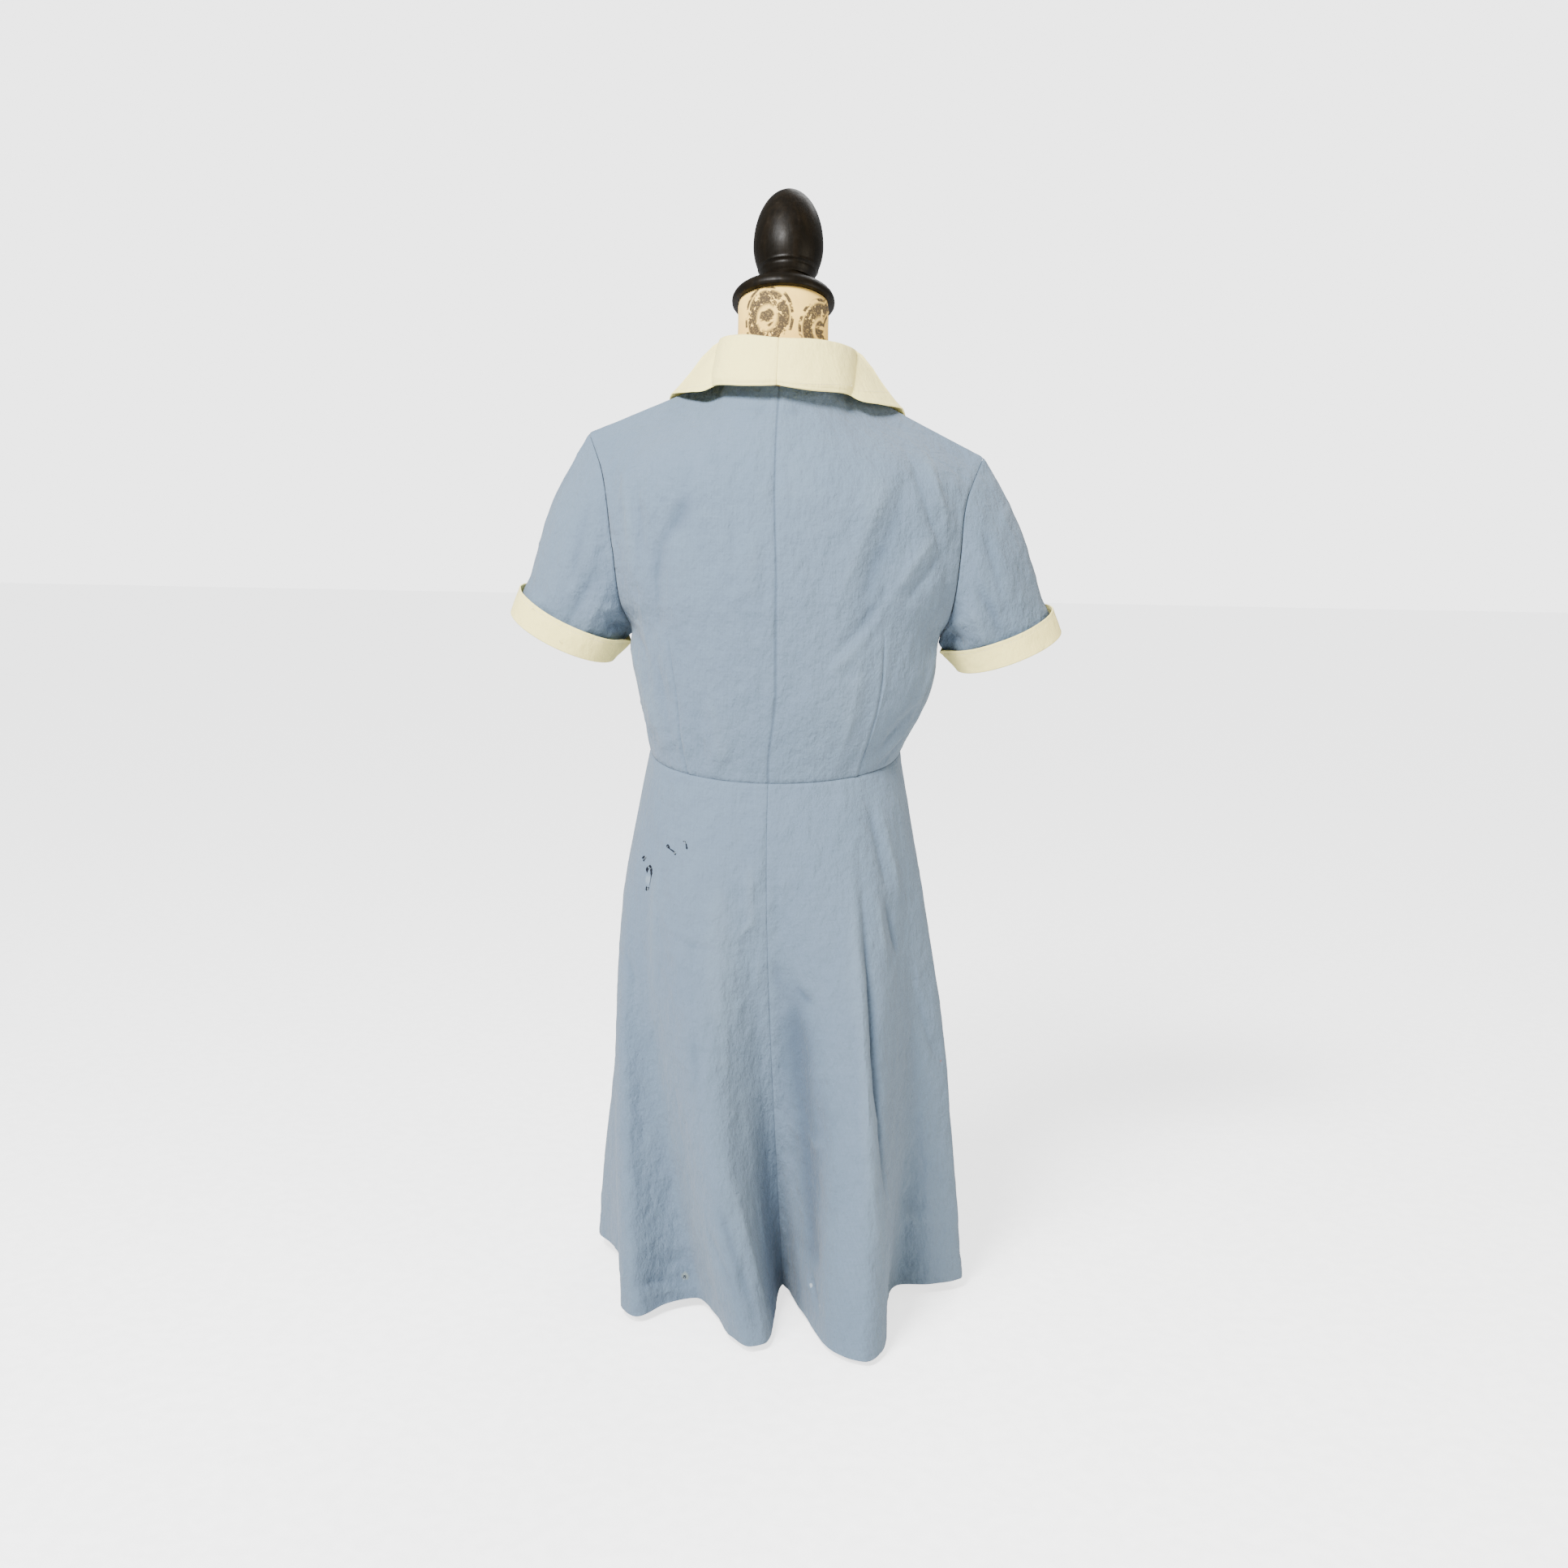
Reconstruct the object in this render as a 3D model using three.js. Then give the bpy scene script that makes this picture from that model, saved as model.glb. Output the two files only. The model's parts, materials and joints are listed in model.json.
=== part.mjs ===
// A short-sleeved waitress dress on a limbless dress form, in millimetres, +Z up.
// The front of the dress faces -Y and the wearer's left is +X. The stand's feet are at z = 0.
// Every panel is a cloth wall on one body surface, parted from its neighbours by a seam gap.
import * as THREE from "three";

// ---- driving sizes ------------------------------------------------------------------------------
const CLOTH = 1.6; // wall of the blue cotton, with its seam allowances
const COLLAR_CLOTH = 2.0; // two layers of cream cotton and their stiffening
const GAP = 0.3; // between pieces at a seam
const SIDE = 90; // angle of a side seam round the body; the centre back is 0, the centre front 180
const SQUARENESS = 2.3; // superellipse power of the body's sections

const NECK_HALF = 58; // half width of the neck's base
const NAPE = { y: 62, z: 960 }; // neck base at the centre back
const THROAT = { y: -50, z: 926 }; // neck base at the centre front
const NECK_POINT = { y: 4, z: 973 }; // top of the shoulder seam
const SHOULDER_TIP = { x: 203, y: 4, z: 901 };
const NECK_SHARE = 0.33; // share of a body row that the neck's base takes
const NECKLINE_SHARE = 0.37; // share of a body row where the neckline meets the shoulder seam
const BACK_NECK_DROP = 0.012; // how far the back neckline lies under the neck's base, of the rows' height
const V_LEVEL = 0.62; // row at which the front neckline ends at the centre front
const OVERLAP = 12; // how far each front passes the centre front
const OVERLAP_LIFT = { over: 1.5, under: -1.5 }; // the upper front rises and the lower front sinks here

// How the worn dress hangs askew: tilt is the drop of its right side, sway its shift along X, and
// turn the share of its depth by which its centre back seam has moved to the left.
const HANG = [
  { z: 0, tilt: 0, sway: 0, turn: 0 },
  { z: 250, tilt: 0, sway: 0, turn: 0.04 },
  { z: 400, tilt: 0, sway: 0, turn: 0.06 },
  { z: 570, tilt: 0, sway: 0, turn: 0.07 },
  { z: 660, tilt: 0.009, sway: -9, turn: 0.085 },
  { z: 760, tilt: 0.024, sway: -9, turn: 0.09 },
  { z: 860, tilt: 0.039, sway: -6, turn: 0.1 },
  { z: 960, tilt: 0.045, sway: -6, turn: 0.13 },
];
const TURN_HALF = 190; // the turn fades out at this distance from the middle

const CUFF = { depth: 25, bottom: 2.2, reach: 4.4, flare: 1.8, wall: 1.8 };
const SLEEVE_END = { x: 234, y: -6, z: 700, half: 55, slope: 0.414, deep: 46, backDrop: 11 };

// ---- body levels, from the waist to under the shoulder ------------------------------------------
// back, front and side are heights; half is the width from the centre to the side seam or armhole;
// deepBack and deepFront are depths at the centre, edgeBack and edgeFront at the armhole's edge;
// wrap is 1 where a row goes right round to the side and small where it stops at the armhole.
const LEVELS = table(
  ["name", "t", "back", "front", "side", "half", "deepBack", "deepFront", "edgeBack", "edgeFront", "wrap"],
  ["waist", 0, 561, 585, 587, 131, 91, 97, 0, 0, 1],
  ["ribs", 0.13, 612, 626, 628, 146, 102, 120, 0, 0, 1],
  ["bust", 0.26, 665, 672, 667, 157, 110, 137, 0, 0, 1],
  ["underarm", 0.37, 712, 712, 704, 160, 115, 140, 0, 0, 1],
  ["armhole foot", 0.47, 756, 748, 733, 169, 118, 132, 36, -34, 0.6],
  ["blades", 0.65, 822, 806, 790, 176, 115, 108, 54, -50, 0.35],
  ["yoke", 0.86, 896, 872, 858, 185, 96, 78, 44, -38, 0.25],
);
const UNDERARM = 0.37;
// Rows and columns of the body's panels, as shares of a panel's height and of a body row.
const BODY_ROWS = [0, 0.07, 0.14, 0.22, 0.3, 0.37, 0.43, 0.51, 0.6, 0.69, 0.78, 0.86, 0.93, 0.97, 1];
const BODY_COLUMNS = [0, 0.06, 0.12, 0.18, 0.24, 0.29, 0.33, 0.37, 0.48, 0.59, 0.7, 0.8, 0.9, 1];

// ---- skirt sections, from the waist down --------------------------------------------------------
const SKIRT_SECTIONS = [
  { v: 0, left: 131, right: 131, back: 91, front: 97 },
  { v: 0.13, left: 146, right: 146, back: 108, front: 113 },
  { v: 0.25, left: 161, right: 160, back: 119, front: 126 },
  { v: 0.48, left: 176, right: 183, back: 131, front: 148 },
  { v: 0.8, left: 188, right: 202, back: 138, front: 166 },
  { v: 1, left: 192, right: 210, back: 140, front: 174 },
];
const FOLD_START = 0.06; // share of the skirt's length where the folds begin
const FOLD_GROWTH = 1.4;
const SKIRT_COLUMN = 24; // hem length that one column of facets takes at most, about

// ---- skirt folds at the hem, round from the centre back by the left side ------------------------
// x and y are the hem's place from above, z its height; at names a seam where there is one.
const HEM_FOLDS = [
  { name: "centre back valley", at: 0, x: -19, y: 60, z: 14 },
  { name: "left middle flank", x: -11, y: 118, z: 11 },
  { name: "left middle corner", x: -5, y: 176, z: 8 },
  { name: "left middle lobe", x: 14, y: 187, z: 8 },
  { name: "left middle lobe end", x: 34, y: 166, z: 8 },
  { name: "left middle turn", x: 50, y: 120, z: 9 },
  { name: "left shallow valley", x: 72, y: 90, z: 12 },
  { name: "left lobe start", x: 102, y: 102, z: 11 },
  { name: "left lobe", x: 132, y: 127, z: 8 },
  { name: "left lobe edge", x: 149, y: 108, z: 10 },
  { name: "left side valley", at: 90, x: 151, y: 46, z: 15 },
  { name: "left side turn", x: 171, y: -22, z: 17 },
  { name: "left side lobe", x: 192, y: -64, z: 16 },
  { name: "left front valley", x: 164, y: -98, z: 18 },
  { name: "left front lobe", x: 160, y: -148, z: 15 },
  { name: "front valley one", x: 114, y: -142, z: 15 },
  { name: "front lobe one", x: 82, y: -188, z: 11 },
  { name: "front valley two", at: 180, x: 22, y: -158, z: 13 },
  { name: "front lobe two", x: -34, y: -196, z: 10 },
  { name: "front valley three", x: -82, y: -158, z: 13 },
  { name: "front lobe three", x: -128, y: -172, z: 11 },
  { name: "right front valley", x: -154, y: -118, z: 14 },
  { name: "right front lobe", x: -198, y: -90, z: 13 },
  { name: "right side valley", at: 270, x: -192, y: -30, z: 13 },
  { name: "right side lobe", x: -214, y: 26, z: 12 },
  { name: "right flat", x: -182, y: 47, z: 13 },
  { name: "right valley", x: -142, y: 53, z: 13 },
  { name: "right lobe flank", x: -127, y: 112, z: 11 },
  { name: "right lobe edge", x: -121, y: 180, z: 8 },
  { name: "right lobe", x: -101, y: 209, z: 6 },
  { name: "right lobe end", x: -68, y: 190, z: 7 },
  { name: "right middle flank", x: -46, y: 132, z: 9 },
];

// ---- collar sections, from the centre back to its front end -------------------------------------
// q runs along the neckline, with 0.36 at the shoulder seam; stand is the rise to the roll and lean
// how far the roll stands out; s and t place the collar's edge over the body, lift is its height off
// it and back a further way backwards.
const SHOULDER_Q = 0.36;
const COLLAR_SECTIONS = [
  { q: 0, stand: 45, lean: 8, s: 0, t: 0.985, lift: 13, back: 7, drop: 5.7 },
  { q: 0.1, stand: 43, lean: 8, s: 0.16, t: 0.976, lift: 12, back: 11, drop: 8.8 },
  { q: 0.19, stand: 37, lean: 9, s: 0.36, t: 0.972, lift: 9, back: 24, drop: 9.5 },
  { q: 0.27, stand: 31, lean: 9.5, s: 0.49, t: 0.978, lift: 6, back: 13, drop: 1.5 },
  { q: 0.36, stand: 28, lean: 9, s: 0.6, t: 1, lift: 4.5, back: 0, drop: 0 },
  { q: 0.5, stand: 24, lean: 8, s: 0.62, t: 0.95, lift: 4.2, back: 0, drop: 0 },
  { q: 0.75, stand: 12, lean: 5, s: 0.57, t: 0.83, lift: 4, back: 0, drop: 0 },
  { q: 1, stand: 4, lean: 2, s: 0.5, t: 0.7, lift: 4, back: 0, drop: 0 },
];
const COLLAR_END = 0.12; // share of a body row where the collar's front end stops

// ---- dress form and stand -----------------------------------------------------------------------
const FORM_INSET = { body: 8, shoulder: 0.6, from: 0.78, to: 0.93, top: 0.97 };
// Columns of the form's half rows; the last is at the arm plates.
const FORM_SHARES = [0, 0.06, 0.12, 0.18, 0.24, 0.29, 0.33, 0.48, 0.59, 0.7, 0.8, 0.9];
const FORM_HIP = { from: 0.3, inset: 21 };
const FORM_NECK = {
  half: 47.5,
  deep: 45,
  y: 5,
  root: 972,
  foot: 1003,
  top: 1040,
  slant: 0.32,
  share: 0.33,
};
const NECK_CAP = { r: 51.5, rim: 12, dome: 26, stem: 26 };
const FINIAL = { x: -4, r: 36, foot: 25.5, height: 100, widest: 0.38 };
const POLE = { r: 12.5 };
const HUB = { r: 24, high: 92 };
const LEGS = [
  { angle: 27, reach: 138 },
  { angle: 141, reach: 142 },
  { angle: 270, reach: 148 },
];
const LEG_THICK = 16;

// ---- colours ------------------------------------------------------------------------------------
const finish = (color, roughness, metalness = 0) =>
  new THREE.MeshStandardMaterial({ color, roughness, metalness });
const BLUE = finish(0xa8b3bd, 0.85);
const CREAM = finish(0xf6efcf, 0.8);
const PRINTED = finish(0xe2c793, 0.85);
const BLACK = finish(0x2b2620, 0.38);
const BUTTON = finish(0xf4eed8, 0.35);

// ---- small mathematics --------------------------------------------------------------------------
const vec = (x, y, z) => new THREE.Vector3(x, y, z);
const lerp = THREE.MathUtils.lerp;
const clamp = THREE.MathUtils.clamp;
const ease = THREE.MathUtils.smoothstep;
const rad = THREE.MathUtils.degToRad;
const steps = (from, to, count) => Array.from({ length: count + 1 }, (_, i) => lerp(from, to, i / count));

// Rows of values under named columns, as one object per row.
function table(columns, ...rows) {
  return rows.map((row) => Object.fromEntries(columns.map((column, i) => [column, row[i]])));
}

// A smooth value through rows at rising keys, flat beyond both ends.
function through(rows, key, column, at) {
  const last = rows.length - 1;
  if (at <= rows[0][key]) return rows[0][column];
  if (at >= rows[last][key]) return rows[last][column];
  let i = 0;
  while (rows[i + 1][key] < at) i++;
  const secant = (k) => (rows[k + 1][column] - rows[k][column]) / (rows[k + 1][key] - rows[k][key]);
  const slope = (k) => {
    const before = secant(Math.max(k - 1, 0));
    const after = secant(Math.min(k, last - 1));
    if (before * after <= 0) return 0;
    const mean = Math.abs(before + after) / 2;
    return Math.sign(before) * Math.min(mean, 3 * Math.abs(before), 3 * Math.abs(after));
  };
  const span = rows[i + 1][key] - rows[i][key];
  const u = (at - rows[i][key]) / span;
  return (
    (1 + 2 * u) * (1 - u) ** 2 * rows[i][column] +
    u * (1 - u) ** 2 * span * slope(i) +
    u * u * (3 - 2 * u) * rows[i + 1][column] +
    u * u * (u - 1) * span * slope(i + 1)
  );
}

// ---- body surface -------------------------------------------------------------------------------
// One row of the body at level t, from the centre (s = 0) to the side seam or armhole (s = 1).
function levelPoint(level, s, front) {
  const turn = (s * Math.PI) / 2;
  const power = 2 / SQUARENESS;
  const reach = lerp(s, Math.sin(turn) ** power, level.wrap);
  const bow = lerp(1 - s ** 2.2, Math.max(Math.cos(turn), 0) ** power, level.wrap);
  const deep = front ? -level.deepFront : level.deepBack;
  const edge = front ? level.edgeFront : level.edgeBack;
  const middle = front ? level.front : level.back;
  return vec(level.half * reach, edge + (deep - edge) * bow, lerp(middle, level.side, s ** 1.6));
}

// The body's top row: the neck's base, then the shoulder seam.
function shoulderPoint(s, front) {
  const base = front ? THROAT : NAPE;
  if (s < NECK_SHARE) {
    const turn = ((s / NECK_SHARE) * Math.PI) / 2;
    return vec(
      NECK_HALF * Math.sin(turn),
      lerp(NECK_POINT.y, base.y, Math.cos(turn)),
      lerp(base.z, NECK_POINT.z, Math.sin(turn) ** 1.7),
    );
  }
  const along = (s - NECK_SHARE) / (1 - NECK_SHARE);
  return vec(
    lerp(NECK_HALF, SHOULDER_TIP.x, along),
    SHOULDER_TIP.y,
    lerp(NECK_POINT.z, SHOULDER_TIP.z, along) - 5 * Math.sin(along * Math.PI) * (1 - along),
  );
}

// A point of the body at angle a (degrees round from the centre back) and level t.
function body(a, t) {
  const wrapped = ((a + 540) % 360) - 180;
  const front = Math.abs(wrapped) > SIDE;
  const s = clamp((front ? 180 - Math.abs(wrapped) : Math.abs(wrapped)) / SIDE, 0, 1);
  const rows = LEVELS.map((level) => ({ t: level.t, ...levelPoint(level, s, front) }));
  rows.push({ t: 1, ...shoulderPoint(s, front) });
  const p = vec(through(rows, "t", "x", t), through(rows, "t", "y", t), through(rows, "t", "z", t));
  if (wrapped < 0) p.x = -p.x;
  return p;
}

// The outward normal of a surface of (a, t), found inside the span of angles given.
function normal(surface, a, t, low, high) {
  const da = a < (low + high) / 2 ? 0.01 : -0.01;
  const dt = t < 0.5 ? 1e-4 : -1e-4;
  const here = surface(a, t);
  const along = surface(a + da, t).sub(here).multiplyScalar(Math.sign(da));
  const up = surface(a, t + dt).sub(here).multiplyScalar(Math.sign(dt));
  return up.cross(along).normalize();
}

// A point of the dress after it has sagged on its form.
function hang(p) {
  const at = (column) => through(HANG, "z", column, p.z);
  const fade = Math.max(0, 1 - (p.x / TURN_HALF) ** 2);
  return vec(p.x + at("sway") + at("turn") * p.y * fade, p.y, p.z + at("tilt") * p.x);
}

// ---- meshes -------------------------------------------------------------------------------------
// A named mesh from points and triangles, with shared points merged and its faces turned outwards.
function solid(name, material, points, triangles) {
  const ids = new Map();
  const kept = [];
  const id = points.map((p) => {
    const key = [p.x, p.y, p.z].map((c) => Math.round(c * 1000)).join();
    if (!ids.has(key)) ids.set(key, kept.push(p) - 1);
    return ids.get(key);
  });
  let faces = triangles.map((f) => f.map((k) => id[k]));
  faces = faces.filter(([a, b, c]) => a !== b && b !== c && c !== a);
  const volume = faces.reduce((sum, [a, b, c]) => sum + kept[a].dot(kept[b].clone().cross(kept[c])), 0);
  if (volume < 0) faces = faces.map(([a, b, c]) => [a, c, b]);
  const geometry = new THREE.BufferGeometry().setFromPoints(kept);
  geometry.setIndex(faces.flat());
  geometry.computeVertexNormals();
  const mesh = new THREE.Mesh(geometry, material);
  mesh.name = name;
  return mesh;
}

// A closed wall between an outer and an inner grid of points; a ring's last column meets its first.
function wall(name, material, outer, inner, ring = false) {
  const rows = outer.length;
  const columns = outer[0].length;
  const spans = ring ? columns : columns - 1;
  const at = (layer, j, i) => (layer * rows + j) * columns + (i % columns);
  const points = [...outer.flat(), ...inner.flat()];
  const triangles = [];
  const quad = (a, b, c, d) => triangles.push([a, b, c], [a, c, d]);
  for (let i = 0; i < spans; i++) {
    for (let j = 0; j < rows - 1; j++) {
      const [a, b, c, d] = [at(0, j, i), at(0, j, i + 1), at(0, j + 1, i + 1), at(0, j + 1, i)];
      const far = outer.length * columns;
      if (points[a].distanceTo(points[c]) <= points[b].distanceTo(points[d])) {
        quad(a, b, c, d);
        quad(a + far, d + far, c + far, b + far);
      } else {
        quad(b, c, d, a);
        quad(b + far, a + far, d + far, c + far);
      }
    }
    quad(at(1, 0, i), at(1, 0, i + 1), at(0, 0, i + 1), at(0, 0, i));
    quad(at(0, rows - 1, i), at(0, rows - 1, i + 1), at(1, rows - 1, i + 1), at(1, rows - 1, i));
  }
  for (let j = 0; j < rows - 1 && !ring; j++) {
    quad(at(0, j, 0), at(0, j + 1, 0), at(1, j + 1, 0), at(1, j, 0));
    quad(at(1, j, spans), at(1, j + 1, spans), at(0, j + 1, spans), at(0, j, spans));
  }
  return solid(name, material, points, triangles);
}

// ---- bodice -------------------------------------------------------------------------------------
// The level where a bodice panel ends: its neckline, then the shoulder seam.
function bodiceTop(a, crossed) {
  const away = Math.abs(a);
  const front = away > SIDE;
  const s = (front ? 180 - away : away) / SIDE;
  const share = clamp(s / NECKLINE_SHARE, 0, 1);
  if (share >= 0.999) return 1;
  if (!front) return 1 - BACK_NECK_DROP * Math.cos((share * Math.PI) / 2);
  return crossed ? V_LEVEL : lerp(V_LEVEL, 1, share ** 0.92);
}

// The angle off the centre front at which the body is x wide at level t.
function angleAt(x, t) {
  let low = 0;
  let high = SIDE;
  for (let k = 0; k < 30; k++) {
    const middle = (low + high) / 2;
    if (body(180 - middle, t).x < x) low = middle;
    else high = middle;
  }
  return low;
}

// One point of a bodice panel and the cloth's normal there, square to any seam it lies on.
function bodicePoint(a, t, share, sign, range) {
  const away = Math.abs(a);
  const front = away > SIDE;
  const s = (front ? Math.abs(180 - away) : away) / SIDE;
  const edge = s > 0.9999;
  const p = body(a, t);
  const n = normal(body, a, t, ...range);
  const forward = front ? -1 : 1;
  if (s === 0 && !front) {
    n.x = 0;
    p.x += (sign * GAP) / 2;
  }
  if (edge && t <= UNDERARM) {
    n.y = 0;
    p.y += (forward * GAP) / 2;
  }
  if (t === 1 && s >= NECKLINE_SHARE - 1e-6) {
    n.y = 0;
    p.y += (forward * GAP) / 2;
  }
  if (share === 0) {
    n.z = 0;
    p.z += GAP / 2;
  }
  return { p, n: n.normalize() };
}

function backPanel(name, left) {
  const sign = left ? 1 : -1;
  const range = [Math.min(0, sign * SIDE), Math.max(0, sign * SIDE)];
  const outer = [];
  const inner = [];
  for (const share of BODY_ROWS) {
    const row = BODY_COLUMNS.map((s) => {
      const a = sign * SIDE * s;
      return bodicePoint(a, bodiceTop(a) * share, share, sign, range);
    });
    outer.push(row.map(({ p }) => hang(p)));
    inner.push(row.map(({ p, n }) => hang(p.clone().addScaledVector(n, -CLOTH))));
  }
  return wall(name, BLUE, outer, inner);
}

function frontPanel(name, left) {
  const sign = left ? 1 : -1;
  const lift = left ? OVERLAP_LIFT.under : OVERLAP_LIFT.over;
  const outer = [];
  const inner = [];
  for (const share of BODY_ROWS) {
    const placket = angleAt(OVERLAP, V_LEVEL * share);
    const columns = BODY_COLUMNS.slice(1).map((s) => Math.min(s * SIDE, SIDE - 1e-6));
    const away = [-placket, 0, placket, ...columns];
    const range = sign > 0 ? [SIDE, 180 + placket] : [-180 - placket, -SIDE];
    const row = away.map((off) => {
      const t = bodiceTop(sign * (180 - Math.abs(off)), off < 0) * share;
      const { p, n } = bodicePoint(sign * (180 - off), t, share, sign, range);
      return { p: p.addScaledVector(n, lift * (1 - ease(off, placket, placket * 3))), n };
    });
    outer.push(row.map(({ p }) => hang(p)));
    inner.push(row.map(({ p, n }) => hang(p.clone().addScaledVector(n, -CLOTH))));
  }
  return wall(name, BLUE, outer, inner);
}

// ---- sleeves and cuffs --------------------------------------------------------------------------
// The armhole's edge at f, from the shoulder tip (0) down the back to the underarm (0.5) and up the
// front, straight between the bodice's rows.
const ARMHOLE_ROWS = BODY_ROWS.filter((t) => t >= UNDERARM);
const SLEEVE_COLUMNS = 4 * (ARMHOLE_ROWS.length - 1);

function armhole(f) {
  const back = f <= 0.5;
  const place = (back ? 1 - f * 2 : f * 2 - 1) * (ARMHOLE_ROWS.length - 1);
  const k = Math.min(Math.floor(place), ARMHOLE_ROWS.length - 2);
  const at = (t) => body(back ? SIDE : SIDE + 1e-6, t);
  return at(ARMHOLE_ROWS[k]).lerp(at(ARMHOLE_ROWS[k + 1]), place - k);
}

// The ring that a sleeve ends on, lower at the back than at the front.
function sleeveEnd(f) {
  const turn = f * 2 * Math.PI;
  const across = Math.cos(turn) * SLEEVE_END.half;
  const back = Math.sin(turn);
  const level = Math.hypot(1, SLEEVE_END.slope);
  return vec(
    SLEEVE_END.x + across / level,
    SLEEVE_END.y + back * SLEEVE_END.deep,
    SLEEVE_END.z + (across * SLEEVE_END.slope) / level - back * SLEEVE_END.backDrop,
  );
}

// A point of the left sleeve, f round it and g down it; its cap swells a little over the armhole.
function sleeve(f, g) {
  const p = armhole(f).lerp(sleeveEnd(f), g);
  const top = 0.5 + 0.5 * Math.cos(f * 2 * Math.PI);
  const swell = Math.sin(Math.PI * Math.min(g * 1.25, 1)) * lerp(2, 8, top);
  const out = vec(0.5 * top + 0.1, Math.sin(f * 2 * Math.PI), 0.45 * top).normalize();
  return p.addScaledVector(out, swell);
}

function sleeveNormal(f, g) {
  const e = 0.5 / SLEEVE_COLUMNS;
  const round = sleeve((f + e) % 1, g).sub(sleeve((f - e + 1) % 1, g));
  const down = sleeve(f, Math.min(g + 1e-3, 1)).sub(sleeve(f, Math.max(g - 1e-3, 0)));
  return down.cross(round).normalize();
}

const mirrored = (p, left) => (left ? p : vec(-p.x, p.y, p.z));
const sleeveTurns = steps(0, 1, SLEEVE_COLUMNS).slice(0, -1);

function sleevePiece(name, left) {
  const outer = [];
  const inner = [];
  for (const g of [0, 0.12, 0.3, 0.55, 0.8, 1]) {
    const row = sleeveTurns.map((f) => {
      const p = sleeve(f, g);
      const n = sleeveNormal(f, Math.max(g, 0.04));
      if (g > 0) return { p, n };
      // At the seam the cloth starts clear of the bodice's edge and square to it over the shoulder.
      const away = sleeve(f, 0.03).sub(p).normalize().add(vec(1, 0, 0)).normalize();
      const top = ease(Math.cos(f * 2 * Math.PI), -0.8, 0.3);
      const back = f <= 0.5;
      const range = back ? [0, SIDE] : [SIDE, 180];
      const edge = normal(body, back ? SIDE : SIDE + 1e-6, f === 0 ? 1 : 0.9, ...range);
      if (f === 0) edge.set(0.3, 0, 1).normalize();
      return { p: p.addScaledVector(away, GAP * 2.2), n: n.lerp(edge, top * 0.7).normalize() };
    });
    outer.push(row.map(({ p }) => hang(mirrored(p, left))));
    inner.push(row.map(({ p, n }) => hang(mirrored(p.clone().addScaledVector(n, -CLOTH), left))));
  }
  return wall(name, BLUE, outer, inner, true);
}

// A turned-up cuff: it starts under the sleeve's end, folds out and stands up round the sleeve.
// Its section is a table of places down past the sleeve's end and out from its outer face.
function cuffPiece(name, left) {
  const low = GAP + CUFF.bottom;
  const section = [
    { down: 1.6 * GAP, out: -CLOTH },
    { down: low, out: -CLOTH },
    { down: low, out: CUFF.reach },
    { down: -CUFF.depth / 2, out: CUFF.reach + CUFF.flare / 2 },
    { down: -CUFF.depth, out: CUFF.reach + CUFF.flare },
    { down: -CUFF.depth, out: CUFF.reach + CUFF.flare - CUFF.wall },
    { down: -CUFF.depth / 2, out: CUFF.reach + CUFF.flare / 2 - CUFF.wall },
    { down: 1.6 * GAP, out: CUFF.reach - CUFF.wall },
  ];
  const points = [];
  for (const f of sleeveTurns) {
    const n = sleeveNormal(f, 1);
    const axis = sleeve(f, 1).sub(sleeve(f, 0.9)).normalize();
    for (const { down, out } of section) {
      points.push(hang(mirrored(sleeve(f, 1).addScaledVector(axis, down).addScaledVector(n, out), left)));
    }
  }
  const triangles = [];
  const at = (i, j) => (i % SLEEVE_COLUMNS) * section.length + (j % section.length);
  for (let i = 0; i < SLEEVE_COLUMNS; i++) {
    for (let j = 0; j < section.length; j++) {
      triangles.push([at(i, j), at(i + 1, j), at(i + 1, j + 1)]);
      triangles.push([at(i, j), at(i + 1, j + 1), at(i, j + 1)]);
    }
  }
  return solid(name, CREAM, points, triangles);
}

// ---- collar -------------------------------------------------------------------------------------
// The neckline at q, from the centre back (0) over the shoulder to the collar's front end (1).
function necklinePlace(q) {
  if (q <= SHOULDER_Q) return { s: NECKLINE_SHARE * (q / SHOULDER_Q), front: false };
  const along = (q - SHOULDER_Q) / (1 - SHOULDER_Q);
  return { s: lerp(NECKLINE_SHARE, COLLAR_END, along), front: true };
}

// The collar's columns meet the bodice's: the same shares of a body row, back and then front.
const NECK_COLUMNS = BODY_COLUMNS.filter((s) => s <= NECKLINE_SHARE);
const COLLAR_COLUMNS = [
  ...NECK_COLUMNS.map((s) => (SHOULDER_Q * s) / NECKLINE_SHARE),
  ...NECK_COLUMNS.filter((s) => s >= COLLAR_END)
    .reverse()
    .slice(1)
    .map((s) => lerp(1, SHOULDER_Q, (s - COLLAR_END) / (NECKLINE_SHARE - COLLAR_END))),
];
const collarSize = (q, column) => through(COLLAR_SECTIONS, "q", column, q);

// The body under the collar's fall: w runs from the neckline (0) to the collar's edge (1).
function underCollar(q, w) {
  const { s, front } = necklinePlace(q);
  const top = bodiceTop(front ? 180 - SIDE * s : SIDE * s, false);
  const across = lerp(s, collarSize(q, "s"), w) * SIDE;
  const a = front ? 180 - across : across;
  const t = Math.min(lerp(top, collarSize(q, "t"), w), 1);
  const n = normal(body, a, t, front ? SIDE : 0, front ? 180 : SIDE);
  n.y *= ease(Math.abs(q - SHOULDER_Q), 0, 0.16); // one shared normal over the shoulder seam
  return { p: body(a, t), n: n.normalize() };
}

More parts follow.
